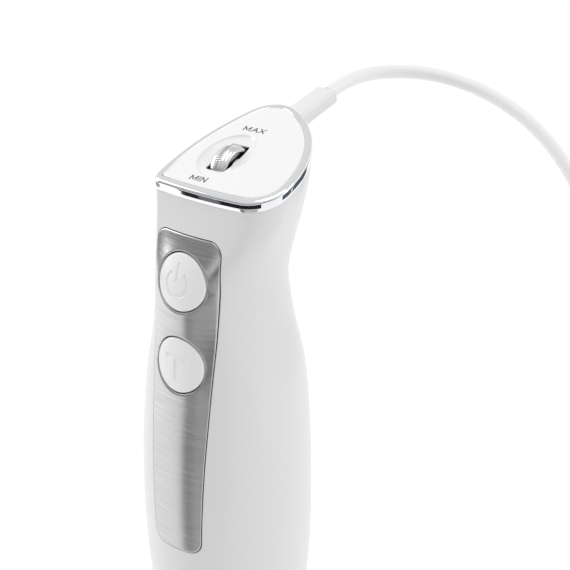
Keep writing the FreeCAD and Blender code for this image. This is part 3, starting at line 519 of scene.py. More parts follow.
studio = {
    "floorSize": 14.0,
    "floorColor": (0.93, 0.93, 0.935),
    "floorGlow": 0.04,
    # brightness of the surroundings: near the horizon in front, near it behind, and overhead
    "front": 0.30, "behind": 1.1, "overhead": 0.8,
    "sun": 0.78, "sunTurn": (0.10, 0.18, 0.0), "sunSize": 50.0,
    # name, place in m, point aimed at, width, height, watts, colour
    "lights": [
        ("key", (-1.3, -0.35, 0.9), (0, 0, 0.3), 0.7, 1.3, 7.0, (1.0, 1.0, 0.99)),
        ("rim", (1.35, 0.75, 0.8), (0, 0, 0.3), 0.7, 1.4, 2.6, (0.98, 0.99, 1.0)),
    ],
    # cards seen only in reflections, on a ring round the object: name, first and last direction in degrees
    # from the front, low and high edge in m, tone
    # those that reach down run on over the floor to the inner ring
    "ring": 0.60, "ringInner": 0.28, "onFloor": 0.004,
    "cards": [
        ("card_line", -47.0, -41.5, 0.14, 0.26, (0.02, 0.02, 0.025)),
        ("card_front", -41.5, -35.5, 0.14, 0.26, (0.16, 0.16, 0.17)),
        ("card_corner", -35.5, 42.0, 0.145, 0.24, (0.012, 0.012, 0.016)),
        ("card_panel", -25.0, -11.0, 0.004, 0.125, (0.20, 0.20, 0.20)),
        ("card_panel_side", -11.0, 34.0, 0.004, 0.125, (0.46, 0.46, 0.46)),
        ("card_right", 112.0, 176.0, 0.14, 0.30, (0.10, 0.11, 0.14)),
        ("card_left", -96.0, -54.0, 0.14, 0.30, (0.36, 0.37, 0.42)),
    ],
}


def makeFloor():
    # A wide floor with a gentle swell that no eye notices, so that it isn't one bare plane.
    side = np.linspace(-studio["floorSize"] / 2, studio["floorSize"] / 2, 41)
    x, y = np.meshgrid(side, side, indexing="ij")
    away = np.maximum(np.hypot(x, y) - 2.5, 0)
    mesh = meshFromGrids("floor", [np.stack([x, y, -0.0006 - 0.0004 * away], axis=-1) / mm])
    if mesh.polygons[0].normal.z < 0:
        mesh.flip_normals()
    floor = bpy.data.objects.new("floor", mesh)
    bpy.context.scene.collection.objects.link(floor)
    mesh.materials.append(stageMaterial("paleFloor", studio["floorColor"], studio["floorGlow"]))


def makeLights():
    for name, place, aim, width, height, watts, color in studio["lights"]:
        light = bpy.data.lights.new(name, "AREA")
        light.shape = "RECTANGLE"
        light.size, light.size_y = width, height
        light.energy = watts
        light.color = color
        lamp = bpy.data.objects.new(name, light)
        lamp.location = place
        lamp.rotation_euler = (Vector(place) - Vector(aim)).to_track_quat("Z", "Y").to_euler()
        bpy.context.scene.collection.objects.link(lamp)
    sun = bpy.data.lights.new("sun", "SUN")
    sun.energy = studio["sun"]
    sun.angle = math.radians(studio["sunSize"])
    lamp = bpy.data.objects.new("sun", sun)
    lamp.location = (0, 0, 2)
    lamp.rotation_euler = studio["sunTurn"]
    bpy.context.scene.collection.objects.link(lamp)


def makeWorld():
    # Surroundings that are greyer in front at the horizon, and white behind and overhead.
    world = bpy.data.worlds.new("studio")
    bpy.context.scene.world = world
    world.use_nodes = True
    nodes, links = world.node_tree.nodes, world.node_tree.links
    place = nodes.new("ShaderNodeTexCoord")
    parts = nodes.new("ShaderNodeSeparateXYZ")
    links.new(place.outputs["Generated"], parts.inputs["Vector"])
    levels = []
    for axis, low, high, first, last in (("Y", -0.6, 0.5, studio["front"], studio["behind"]),
                                         ("Z", 0.05, 0.75, 0.0, 1.0)):
        ranged = nodes.new("ShaderNodeMapRange")
        ranged.interpolation_type = "SMOOTHSTEP"
        for label, value in (("From Min", low), ("From Max", high), ("To Min", first), ("To Max", last)):
            ranged.inputs[label].default_value = value
        links.new(parts.outputs[axis], ranged.inputs["Value"])
        levels.append(ranged.outputs["Result"])
    mixed = nodes.new("ShaderNodeMix")
    links.new(levels[1], mixed.inputs["Factor"])
    links.new(levels[0], mixed.inputs["A"])
    mixed.inputs["B"].default_value = studio["overhead"]
    background = nodes["Background"]
    background.inputs["Color"].default_value = (1, 1, 1, 1)
    links.new(mixed.outputs["Result"], background.inputs["Strength"])
    bpy.context.scene.view_settings.view_transform = "Standard"


def makeCards():
    for name, first, last, low, high, tone in studio["cards"]:
        steps = max(4, int((last - first) / 2))
        side = [(studio["ring"], high), (studio["ring"], (low + high) / 2), (studio["ring"], low)]
        if low < studio["onFloor"] + 0.001:
            side.append((studio["ringInner"], low))
        turn, (radius, height) = np.radians(np.linspace(first, last, steps + 1))[:, None], np.array(side).T
        points = np.stack(np.broadcast_arrays(radius * np.sin(turn), -radius * np.cos(turn), height),
                          axis=-1)
        mesh = meshFromGrids(name, [points / mm])
        card = bpy.data.objects.new(name, mesh)
        bpy.context.scene.collection.objects.link(card)
        mesh.materials.append(stageMaterial(name, tone))
        card.visible_camera = False
        card.visible_diffuse = False
        card.visible_shadow = False
        card.visible_transmission = False


makeFloor()
makeLights()
makeWorld()
makeCards()

print("stage 3: materials")

shellWhite = plastic("shellWhite", (0.712, 0.712, 0.71), (0.72, 0.72, 0.718), (0.30, 0.34), 0.006, 1800.0)
plateWhite = plastic("plateWhite", (0.85, 0.85, 0.85), (0.86, 0.86, 0.86), (0.16, 0.19), 0.004, 900.0, 0.4)
buttonWhite = plastic("buttonWhite", (0.80, 0.80, 0.798), (0.81, 0.81, 0.808), (0.28, 0.34), 0.006,
                      2200.0, 0.1)
hubWhite = plastic("hubWhite", (0.752, 0.752, 0.75), (0.76, 0.76, 0.758), (0.30, 0.34), 0.012, 1800.0)
cordWhite = plastic("cordWhite", (0.80, 0.80, 0.79), (0.84, 0.84, 0.83), (0.38, 0.46), 0.003, 900.0)
plugWhite = plastic("plugWhite", (0.79, 0.79, 0.78), (0.83, 0.83, 0.82), (0.34, 0.42), 0.004, 900.0)
darkPlastic = plastic("darkPlastic", (0.018, 0.018, 0.02), (0.03, 0.03, 0.032), (0.42, 0.55), 0.03, 1200.0)
drivePlastic = plastic("drivePlastic", (0.05, 0.052, 0.056), (0.075, 0.078, 0.082), (0.45, 0.6), 0.03,
                       1200.0)
innerPlastic = plastic("innerPlastic", (0.05, 0.05, 0.052), (0.075, 0.075, 0.078), (0.45, 0.6), 0.02,
                       1400.0)
boardGreen = plastic("boardGreen", (0.015, 0.10, 0.035), (0.025, 0.15, 0.055), (0.28, 0.4), 0.02, 900.0)
capacitorBlue = plastic("capacitorBlue", (0.03, 0.06, 0.2), (0.05, 0.09, 0.27), (0.25, 0.35), 0.01, 900.0)
carbonBlack = plastic("carbonBlack", (0.02, 0.02, 0.02), (0.045, 0.045, 0.045), (0.6, 0.8), 0.05, 1600.0)
rubberBlack = plastic("rubberBlack", (0.018, 0.018, 0.018), (0.035, 0.035, 0.035), (0.6, 0.75), 0.04,
                      1400.0)
inkGrey = plastic("inkGrey", (0.05, 0.05, 0.055), (0.07, 0.07, 0.075), (0.4, 0.5), 0.004, 1500.0)
chromeTrim = plated("chromeTrim", (0.80, 0.81, 0.83), (0.86, 0.87, 0.89), (0.03, 0.06))
wheelChrome = plated("wheelChrome", (0.66, 0.66, 0.66), (0.72, 0.72, 0.72), (0.20, 0.24), 0.0003)
pinNickel = plated("pinNickel", (0.62, 0.60, 0.55), (0.70, 0.68, 0.63), (0.12, 0.2))
panelSteel = brushed("panelSteel", (0.38, 0.38, 0.377), (0.74, 0.74, 0.737), (0.18, 0.28), (60, 60, 9000),
                     0.005, 0.5)
shaftSteel = brushed("shaftSteel", (0.56, 0.56, 0.56), (0.66, 0.66, 0.66), (0.16, 0.24), (40, 40, 6000),
                     0.003, 0.3)
bladeSteel = brushed("bladeSteel", (0.52, 0.52, 0.53), (0.62, 0.62, 0.63), (0.2, 0.3), (3000, 120, 120),
                     0.004)
plainSteel = brushed("plainSteel", (0.45, 0.45, 0.45), (0.55, 0.55, 0.55), (0.25, 0.38), (300, 300, 2500),
                     0.004)
springSteel = brushed("springSteel", (0.34, 0.34, 0.35), (0.45, 0.45, 0.46), (0.25, 0.4), (900, 900, 900),
                      0.004)
laminatedIron = brushed("laminatedIron", (0.12, 0.12, 0.125), (0.28, 0.28, 0.29), (0.4, 0.6),
                        (30, 30, 2400), 0.03)
copperWire = brushed("copperWire", (0.38, 0.13, 0.05), (0.62, 0.24, 0.10), (0.22, 0.4), (500, 500, 1800),
                     0.12)
commutatorCopper = brushed("commutatorCopper", (0.5, 0.24, 0.13), (0.68, 0.36, 0.2), (0.2, 0.35),
                           (60, 60, 3000), 0.005)
bronze = brushed("bronze", (0.35, 0.23, 0.10), (0.50, 0.34, 0.16), (0.35, 0.5), (1400, 1400, 1400), 0.01)
heatsinkAluminium = brushed("heatsinkAluminium", (0.55, 0.56, 0.57), (0.68, 0.69, 0.70), (0.3, 0.45),
                            (200, 3000, 200), 0.006)

nodeMaterials = {
    "shell_white": shellWhite, "plate_white": plateWhite, "button_white": buttonWhite,
    "chrome_trim": chromeTrim,
    "panel_steel": panelSteel, "wheel_chrome": wheelChrome, "shaft_steel": shaftSteel,
    "blade_steel": bladeSteel,
    "inner_plastic": innerPlastic, "dark_plastic": darkPlastic, "drive_plastic": drivePlastic,
    "steel": plainSteel,
    "spring_steel": springSteel, "laminated_iron": laminatedIron, "copper_wire": copperWire,
    "commutator_copper": commutatorCopper, "carbon": carbonBlack, "bronze": bronze,
    "rubber_black": rubberBlack,
    "board_green": boardGreen, "capacitor_blue": capacitorBlue, "heatsink_aluminium": heatsinkAluminium,
    "cord_white": cordWhite, "plug_white": plugWhite, "pin_nickel": pinNickel,
}


def paintNodes():
    # Every CAD node that stays in view gets the material of its own slot.
    for part in frame["record"]["subparts"]:
        node = frame["nodes"][part["node"]]
        node.data.materials.clear()
        node.data.materials.append(nodeMaterials[part["material_slot"]])


paintNodes()

print("stage 4: cord and plug")

cord = {
    "diameter": 5.4,
    "length": 1300.0,
    # the route, from the strain relief to the floor
    "points": [(2.2, 80, 397.3), (9.5, 99, 397.8), (26, 112, 396), (49, 117, 389.5), (73, 116, 376.5),
               (93, 112.5, 354), (105.5, 108.5, 323), (112, 105.5, 287), (115.5, 104, 248),
               (116.5, 104, 207),
               (117, 105, 166), (118.5, 106, 126), (120, 105, 90), (120.5, 99, 56), (120, 90, 33),
               (119, 71, 10),
               (118, 50, 2.7)],
    "coilMiddle": (85.0, 48.0),
    "coilTurns": [(33.0, 2.7), (27.6, 2.7), (27.6, 8.1), (33.0, 8.1)],     # radius and height of each turn
    "pointsPerTurn": 24,
    "tail": [(118, 37, 8.1), (118, 26.5, 6.75)],
}
relief = {
    "offset": 2.2, "tilt": 11.5, "width": 9.6, "height": 6.0, "start": -6.0, "end": 30.0, "taper": 0.3,
    "middle": (36.0, 2.8),      # behind the axis, and above the speed wheel's slot
}


def inRelief(points):
    # From the strain relief's frame (right, along it, up) to the object's frame.
    t = math.radians(relief["tilt"])
    x, y, z = points[..., 0], points[..., 1], points[..., 2]
    return np.stack([relief["offset"] + x, relief["middle"][0] + y * math.cos(t) - z * math.sin(t),
                     headHeight + relief["middle"][1] + y * math.sin(t) + z * math.cos(t)], axis=-1)


def coilPoints():
    # Turns that keep their radius and height, and move to the next turn's in the last fifth of each.
    turns = cord["coilTurns"]
    cx, cy = cord["coilMiddle"]
    per = cord["pointsPerTurn"]
    line = []
    for n in range(per * len(turns) + 1):
        turn = min(n // per, len(turns) - 1)
        along = n / per - turn
        near, far = turns[turn], turns[min(turn + 1, len(turns) - 1)]
        share = float(smooth((along - 0.8) / 0.2))
        radius, height = [a + (b - a) * share for a, b in zip(near, far)]
        a = -2 * math.pi * n / per
        line.append((cx + radius * math.cos(a), cy + radius * math.sin(a), height))
    return line


def makeCord():
    start = inRelief(np.array([0.0, relief["end"], 0.0]))
    route = [tuple(start)] + cord["points"] + coilPoints()[1:] + cord["tail"]
    curve = bpy.data.curves.new("mains_cord_line", "CURVE")
    curve.dimensions = "3D"
    spline = curve.splines.new("NURBS")
    spline.points.add(len(route) - 1)
    for point, place in zip(spline.points, route):
        point.co = (*[c * mm for c in place], 1.0)
    spline.order_u = 3
    spline.use_endpoint_u = True
    spline.resolution_u = 6
    curve.bevel_depth = cord["diameter"] / 2 * mm
    curve.bevel_resolution = 6
    curve.use_fill_caps = True
    piece = bpy.data.objects.new("cord_line", curve)
    bpy.context.scene.collection.objects.link(piece)
    curve.materials.append(cordWhite)
    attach(piece, "handle")
    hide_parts("mains_cord", "cord_coil", "cord_tail")
    return piece, start


cordPiece, cordExit = makeCord()

plug = {
    "middle": 118.0, "height": 6.75, "front": -19.0, "neckEnd": 26.4, "halfWidth": 17.4,
    "halfHeight": 6.65,
    "pinSpacing": 19.0, "pinLength": 19.0, "pinRadius": 2.0, "sleeve": 10.0,
}


def section(halfWidth, halfHeight, power, columns=72):
    # Right and up of a closed rounded section: a circle pulled towards a rectangle by the power.
    a = np.linspace(0, 2 * math.pi, columns + 1)
    a[-1] = 0
    c, s = np.cos(a), np.sin(a)
    return np.stack([halfWidth * np.sign(c) * np.abs(c) ** (2 / power),
                     halfHeight * np.sign(s) * np.abs(s) ** (2 / power)], axis=-1)


def makePlug():
    # Rounded sections along the plug: a flat body that narrows to a ribbed neck.
    p = plug
    # along, half width, half height, power
    rows = [(0, 0, 0, 2.6), (0, 13.0, 4.2, 4), (0.0, 15.6, 5.6, 5), (0.4, 16.5, 6.2, 5.5),
            (1.3, p["halfWidth"] - 0.3, p["halfHeight"] - 0.1, 6),
            (2.6, p["halfWidth"], p["halfHeight"], 6), (14, p["halfWidth"] - 0.3, p["halfHeight"], 6),
            (20, 15.6, p["halfHeight"] - 0.2, 5), (25, 12.2, 6.2, 3.8), (29, 8.4, 5.9, 3),
            (31.5, 6.3, 5.6, 2.5)]
    neckStart, neckEnd = 31.5, p["neckEnd"] - p["front"]
    ribs = 5
    for i in range(ribs):
        low = neckStart + (neckEnd - 1.5 - neckStart) * i / ribs
        step = (neckEnd - 1.5 - neckStart) / ribs
        r = 5.6 - 1.6 * i / ribs
        rows += [(low + 0.12 * step, r, r, 2), (low + 0.55 * step, r - 0.15, r - 0.15, 2),
                 (low + 0.62 * step, r - 1.0, r - 1.0, 2), (low + 0.92 * step, r - 1.1, r - 1.1, 2)]
    rows += [(neckEnd - 1.4, 3.9, 3.9, 2), (neckEnd - 0.3, 3.7, 3.7, 2), (neckEnd, 3.3, 3.3, 2),
             (neckEnd, 0, 0, 2)]
    grid = np.empty((len(rows), 73, 3))
    for n, (along, width, height, power) in enumerate(rows):
        shape = section(width, height, power)
        grid[n, :, 0] = p["middle"] + shape[:, 0]
        grid[n, :, 1] = p["front"] + along
        grid[n, :, 2] = p["height"] + shape[:, 1]
    body = addPiece("plug_shell", meshFromGrids("plug_shell", [grid], 50), plugWhite, "handle",
                    ["plug_body"])
    pins, sleeves = [], []
    for side in (-0.5, 0.5):
        centre = (p["middle"] + side * p["pinSpacing"], p["front"], p["height"])
        r, length = p["pinRadius"], p["pinLength"]
        tip = [(r * math.cos(a), -length + 1.6 * (1 - math.sin(a))) for a in np.linspace(0, math.pi / 2, 8)]
        pins.append(lathe([(0, 0.5), (r - 0.1, 0.5),
                           (r - 0.1, -p["sleeve"])] + [(r, -p["sleeve"] - 0.2)] + tip, 40, centre, "y"))
        sleeves.append(lathe([(r - 0.4, 0.4), (r - 0.02, 0.4), (r - 0.02, -p["sleeve"] + 0.15),
                              (r - 0.15, -p["sleeve"]),
                              (r - 0.4, -p["sleeve"]), (r - 0.4, 0.4)], 40, centre, "y"))
    metal = addPiece("plug_pins_metal", meshFromGrids("plug_pins_metal", pins), pinNickel, "handle",
                     ["plug_pins"])
    white = addPiece("pin_sleeves", meshFromGrids("pin_sleeves", sleeves), plugWhite, "handle")
    return [body, metal, white]


plugPieces = makePlug()


def makeRelief():
    # Rounded sections along the strain relief, a little smaller towards the cord.
    r = relief
    rows = [(r["start"], 0.0), (r["start"], 1.0)] + [(y, 1.0)
                                                for y in np.linspace(r["start"] + 1, r["end"] - 1.2, 12)]
    ends = [(r["end"] - 1.2 + 1.2 * math.sin(a),
             1 - 1.2 * (1 - math.cos(a)) / 3.0) for a in np.linspace(0.2, math.pi / 2, 6)]
    grid = []
    for along, share in rows + ends + [(r["end"], 0.0)]:
        taper = r["taper"] * (along - r["start"]) / (r["end"] - r["start"])
        half, high = (r["width"] / 2 - taper), (r["height"] / 2 - 0.67 * taper)
        corner = softened([(-half, -high), (half, -high), (half, high), (-half, high)], 1.2, 6)
        inner = np.maximum(share, 0)
        shrink = np.array([(half - (1 - inner) * 3.0) / half,
                           (high - (1 - inner) * 3.0) / high]) if share > 0 else 0
        corner = corner * shrink
        grid.append(np.stack([corner[:, 0], np.full(len(corner), along), corner[:, 1]], axis=-1))
    mesh = meshFromGrids("cord_relief", [inRelief(np.array(grid))], 50)
    return addPiece("cord_relief", mesh, hubWhite, "handle", ["strain_relief"])


reliefPiece = makeRelief()

print("stage 5: handle shell")

panel = {
    "top": waistHeight + 16.5, "length": 121.5, "topHalf": 15.0, "bottomHalf": 10.6, "corner": 5.0,
    "gap": 0.2, "proud": 0.15, "thickness": 0.7, "edge": 0.4,
}
panel["bottom"] = panel["top"] - panel["length"]
button = {
    "radius": 10.3, "gap": 0.4, "bevel": 0.9, "proud": 0.6, "edge": 0.75, "capDepth": 5.9, "flange": 1.4,
    "flangeThickness": 1.2, "stem": 2.2,
    "travel": 1.5, "stop": 0.4,
    "heights": {"power": waistHeight + 1.0, "turbo": waistHeight - 30.0}, "engraving": 0.32, "stroke": 0.62,
}
release = {"height": handle["bottom"] + 10.0, "halfWidth": 4.0, "rise": 3.0, "gap": 0.3, "proud": 0.8}
socket = {"bore": 21.25, "ceiling": 186.0, "floor": 188.5, "hole": 6.5}
shell = {"columns": 208, "lowRows": 25, "rows": 97, "edge": 0.3}
rightward, upward = (1.0, 0.0, 0.0), (0.0, 0.0, 1.0)


def panelHalf(z, inset=0.0):
    # The panel's half width at a height, moved in by inset.
    share = (z - panel["bottom"]) / panel["length"]
    return panel["bottomHalf"] + (panel["topHalf"] - panel["bottomHalf"]) * share - inset


def shellPatch(window, loops, insets, surface):
    # Rings of the shell between a hole's loops and the rectangle of grid lines round it.
    # Returns the grid of points; loops and insets run from the hole's edge outwards.
    columns, rows = window
    corner = np.concatenate([
        np.stack([columns[:-1], np.full(len(columns) - 1, rows[0])], axis=-1),
        np.stack([np.full(len(rows) - 1, columns[-1]), rows[:-1]], axis=-1),
        np.stack([columns[::-1][:-1], np.full(len(columns) - 1, rows[-1])], axis=-1),
        np.stack([np.full(len(rows) - 1, columns[0]), rows[::-1][:-1]], axis=-1)])
    corner = np.concatenate([corner, corner[:1]])
    rings = between(loops[-1], corner, (0.06, 0.16, 0.3, 0.46, 0.64, 0.82, 1.0))
    every = np.concatenate([np.array(loops), rings])
    depth = np.concatenate([np.array(insets), np.full(len(rings), insets[-1])])
    return surface(every[..., 0], every[..., 1], depth[:, None])


def makeHandle():
    # The outer skin, the inner skin a wall's thickness further in, the partition and the shaft's socket,
    # joined round their rims and round three holes: the panel's and the two release buttons'.
    s = shell
    angles = np.linspace(-math.pi, math.pi, s["columns"] + 1)
    lowTop = handle["bottom"] + 20.0
    heights = np.concatenate([np.linspace(handle["bottom"], lowTop, s["lowRows"]),
                              np.linspace(lowTop, shellTop, s["rows"])[1:]])
    reach = round(math.radians(40) / (angles[1] - angles[0]))
    middle = s["columns"] // 4              # the column that faces front
    low, high, sideTop = (int(i) for i in np.searchsorted(heights,
            [panel["bottom"] - 7, panel["top"] + 9.5, release["height"] + 9.5]))
    panelWindow = (middle - reach, middle + reach, low, high)
    sideReach = round(math.radians(17) / (angles[1] - angles[0]))
    right = s["columns"] // 2
    windows = [(right - sideReach, right + sideReach, 0, sideTop)]
    loose = np.ones((len(heights) - 1, s["columns"]), bool)
    inner = loose.copy()
    for c0, c1, r0, r1 in [panelWindow] + windows:
        loose[r0:r1, c0:c1] = False
    loose[0:sideTop, :sideReach] = False
    loose[0:sideTop, -sideReach:] = False
    inner[low:high, panelWindow[0]:panelWindow[1]] = False
    firstInner = int(np.searchsorted(heights, socket["floor"] + 0.3))
    inner[:firstInner] = False
    angleGrid, heightGrid = np.meshgrid(angles, heights)
    angleGrid[:, -1] = angles[0]
    grids = [(handlePoint(angleGrid, heightGrid), loose),
             (handlePoint(angleGrid, heightGrid, handle["wall"]), inner)]

    # the panel's hole: a small round edge, a wall, and the inner skin round it
    c0, c1, r0, r1 = panelWindow
    counts = [c1 - c0, r1 - r0, c1 - c0, r1 - r0]
    zLow, zHigh = panel["bottom"] - panel["gap"], panel["top"] + panel["gap"]
    corners = [(-panelHalf(zLow, -panel["gap"]), zLow), (panelHalf(zLow, -panel["gap"]), zLow),
               (panelHalf(zHigh, -panel["gap"]), zHigh), (-panelHalf(zHigh, -panel["gap"]), zHigh)]
    outline = sideLoop(corners, [panel["corner"] + panel["gap"]] * 4, counts, 7)
    normal = loopNormals(outline)
    edge = s["edge"]
    turns = np.linspace(0, math.pi / 2, 5)
    loops, insets = [], []
    for t in turns:
        grown = outline + normal * edge * (1 - math.cos(t))
        loops.append(np.stack(findOnHandle(grown[:, 0], grown[:, 1], (0, 0, 0), rightward, upward,
                                           -math.pi / 2), axis=-1))
        insets.append(edge * (1 - math.sin(t)))
    columns, rows = angles[c0:c1 + 1], heights[r0:r1 + 1]
    front = shellPatch((columns, rows), loops, insets, handlePoint)
    behind = np.stack(findOnHandle(outline[:, 0], outline[:, 1], (0, 0, 0), rightward, upward, -math.pi / 2,
                                   handle["wall"]), axis=-1)
    back = shellPatch((columns, rows), [behind], [handle["wall"]], handlePoint)
    grids += [front, back, between(front[0], back[0], (0.0, 0.3, 1.0))]

    # bottom rim, socket, partition
    floorRow = heights[firstInner]
    rimAngles = angleGrid[0]
    bore = lambda a, z, r: np.stack(np.broadcast_arrays(r * np.cos(a), r * np.sin(a), z), axis=-1)
    outerRim = handlePoint(rimAngles, heights[0])
    boreHeights = np.concatenate([[heights[0]], heights[1:sideTop + 1]])
    boreHeights = boreHeights[boreHeights < socket["ceiling"] - 0.2]
    boreAngle, boreHeight = np.meshgrid(rimAngles, boreHeights)
    boreGrid = bore(boreAngle, boreHeight, socket["bore"])
    boreTop = min(sideTop, len(boreHeights) - 1)
    boreKeep = np.ones((len(boreHeights) - 1, s["columns"]), bool)
    boreKeep[:boreTop, right - sideReach:right + sideReach] = False
    boreKeep[:boreTop, :sideReach] = False
    boreKeep[:boreTop, -sideReach:] = False
    grids.append((boreGrid, boreKeep))
    grids.append(between(outerRim, boreGrid[0], (0.0, 0.5, 1.0)))
    ceiling = bore(rimAngles, socket["ceiling"], socket["bore"])
    inward = [boreGrid[-1], ceiling, bore(rimAngles, socket["ceiling"], 14.0),
              bore(rimAngles, socket["ceiling"], socket["hole"]),
              bore(rimAngles, socket["floor"], socket["hole"]), bore(rimAngles, socket["floor"], 14.0),
              handlePoint(rimAngles, floorRow, handle["wall"]) * [1, 1, 0] + [0, 0, socket["floor"]],
              handlePoint(rimAngles, floorRow, handle["wall"])]
    grids.append(np.array(inward))
    grids.append(between(handlePoint(rimAngles, heights[-1]),
                         handlePoint(rimAngles, heights[-1], handle["wall"]), (0.0, 0.5, 1.0)))

    # the release buttons' holes, straight through to the bore
    for turn in (0.0, math.pi):
        sign = 1 if turn == 0.0 else -1
        columns = angles[right - sideReach:right + sideReach + 1] + turn
        rows = heights[:sideTop + 1]
        outline = pillLoop(release["halfWidth"] + release["gap"], release["rise"],
                           [len(columns) - 1, len(rows) - 1] * 2)
        normal = loopNormals(outline)
        base = (0, 0, release["height"])
        across = (0, sign, 0)
        loops, insets = [], []
        for t in turns[1:]:
            grown = outline + normal * edge * (1 - math.cos(t))
            loops.append(np.stack(findOnHandle(grown[:, 0], grown[:, 1], base, across, upward, turn),
                                  axis=-1))
            insets.append(edge * (1 - math.sin(t)))
        outside = shellPatch((columns, rows), loops, insets, handlePoint)
        boreRows = boreHeights[:boreTop + 1]
        boreZ = np.minimum(release["height"] + outline[:, 1], socket["ceiling"] - 0.4)
        boreOutline = np.stack([turn + np.arcsin(outline[:, 0] / socket["bore"]), boreZ], axis=-1)
        step = np.stack([np.full(len(outline), sign * (socket["bore"] + 0.2)), sign * outline[:, 0],
                         release["height"] + outline[:, 1]], axis=-1)
        if len(boreRows) != len(rows):
            boreRows = np.concatenate([boreRows, np.full(len(rows) - len(boreRows), boreRows[-1])])
        inside = shellPatch((columns, boreRows), [boreOutline], [0.0],
                            lambda a, z, i: bore(a, z, socket["bore"]))
        grids += [outside, inside, np.array([outside[0], step, inside[0]])]
    mesh = meshFromGrids("handle_body", grids, 32)
    return addPiece("handle_body", mesh, shellWhite, "handle", ["handle_shell"])


makeHandle()

print("stage 6: panel and buttons")


def frontDepth(height):
    # Depth of the handle's surface in front of the axis, at a true height.
    angle, level = findOnHandle(np.array([0.0]), np.array([height]), (0, 0, 0), rightward, upward,
                                -math.pi / 2)
    return -float(handlePoint(angle, level)[0, 1])


def buttonFrame(name):
    # Middle of a button on the handle's surface, and its directions to the right, up and in.
    height = button["heights"][name]
    lean = math.atan2(frontDepth(height - 4) - frontDepth(height + 4), 8.0)
    base = np.array([0.0, -frontDepth(height), height])
    return base, np.array([1.0, 0, 0]), np.array([0, math.sin(lean), math.cos(lean)]),\
        np.array([0, math.cos(lean), -math.sin(lean)])


def makePanel():
    # A thin sheet on the handle's skin with two round windows, rolled over at every edge.
    # It is three fields, one round each window and one below, inside a strip that follows the outline.
    p = panel
    edges = [0.0, 0.1, 0.22, 0.4, 0.7]
    holeEdges = [share * button["bevel"] for share in (0.0, 0.12, 0.3, 0.55, 0.8, 1.0, 1.25)]

    def depth(distance, width):
        # Quarter circle at the edge, flat from there on. A wide edge is flattened to the same depth.
        t = np.clip(distance / width, 0, 1)
        return -p["proud"] + p["edge"] * (1 - np.sqrt(1 - (1 - t) ** 2))

    rim = edges[-1]
    powerHeight, turboHeight = button["heights"]["power"], button["heights"]["turbo"]
    upper = (powerHeight + turboHeight) / 2
    lower = turboHeight - (upper - turboHeight)
    across, tall, topTall = 40, 36, 40
    grids, rightSide, leftSide, topSide = [], [], [], []
    for name, zLow, zHigh, radii in (("power", upper, p["top"] - rim,
                                      [0, 0, p["corner"] - rim, p["corner"] - rim]),
                                     ("turbo", lower, upper, [0, 0, 0, 0])):
        corners = [(-panelHalf(zLow, rim), zLow), (panelHalf(zLow, rim), zLow),
                   (panelHalf(zHigh, rim), zHigh),
                   (-panelHalf(zHigh, rim), zHigh)]
        side = topTall if name == "power" else tall
        counts = [across, side, across, side]
        outer = sideLoop(corners, radii, counts, 8)
        base, rightDir, upDir, _ = buttonFrame(name)
        circle = circleLoop(counts)
        loops, insets = [], []
        for g in holeEdges:
            r = button["radius"] + button["gap"] + g
            loops.append(np.stack(findOnHandle(circle[:, 0] * r, circle[:, 1] * r, base, rightDir, upDir,
                                               -math.pi / 2), axis=-1))
            insets.append(float(depth(g, button["bevel"])))
        field = np.stack(findOnHandle(outer[:, 0], outer[:, 1], (0, 0, 0), rightward, upward,
                                      -math.pi / 2), axis=-1)
        rings = between(loops[-1], field, np.linspace(0, 1, 9)[1:])
        every = np.concatenate([np.array(loops), rings])
        inset = np.concatenate([insets, np.full(len(rings), -p["proud"])])
        grids.append(handlePoint(every[..., 0], every[..., 1], inset[:, None]))
        first = across
        rightSide.append(outer[first:first + side + 1])
        leftSide.append(outer[first + side + across:first + 2 * side + across + 1])
        if name == "power":
            topSide = outer[first + side:first + side + across + 1]
    # the field below the buttons, narrower along its rounded bottom corners
    corner = p["corner"] - rim
    zLow = p["bottom"] + rim
    rows = np.concatenate([zLow + corner * (1 - np.cos(np.linspace(0, math.pi / 2, 10))),
                           np.linspace(zLow + corner, lower, 34)[1:]])
    curve = np.maximum(corner - (rows - zLow), 0)
    half = panelHalf(rows, rim) - corner + np.sqrt(corner ** 2 - curve ** 2)
    share = np.linspace(-1, 1, across + 1)
    x = half[:, None] * share[None, :]
    z = np.broadcast_to(rows[:, None], x.shape)
    field = findOnHandle(x, z, (0, 0, 0), rightward, upward, -math.pi / 2)
    grids.append(handlePoint(*field, -p["proud"]))
    left, right = np.stack([x[:, 0], rows], axis=-1), np.stack([x[:, -1], rows], axis=-1)
    bottom = np.stack([x[0], z[0]], axis=-1)
    outline = np.concatenate([bottom[:-1], right[:-1], rightSide[1][:-1], rightSide[0][:-1], topSide[:-1],
                              leftSide[0][:-1], leftSide[1][:-1], left[::-1]])
    keep = np.concatenate([[True], np.linalg.norm(np.diff(outline, axis=0), axis=1) > 1e-4])
    strip = outline[keep]
    strip[-1] = strip[0]
    normal = loopNormals(strip)
    rows = []
    for g in edges:
        line = strip + normal * (rim - g)
        at = findOnHandle(line[:, 0], line[:, 1], (0, 0, 0), rightward, upward, -math.pi / 2)
        rows.append(handlePoint(*at, float(depth(g, p["edge"]))))
    grids.append(np.array(rows))
    mesh = meshFromGrids("steel_panel", grids, 40)
    if mesh.polygons[len(mesh.polygons) // 2].normal.y > 0:
        mesh.flip_normals()
    piece = addPiece("steel_panel", mesh, panelSteel, "handle", ["front_panel"])
    wall = piece.modifiers.new("wall", "SOLIDIFY")
    wall.thickness = (p["thickness"] - p["edge"]) * mm
    wall.offset = -1.0
    wall.use_even_offset = False
    return piece


makePanel()


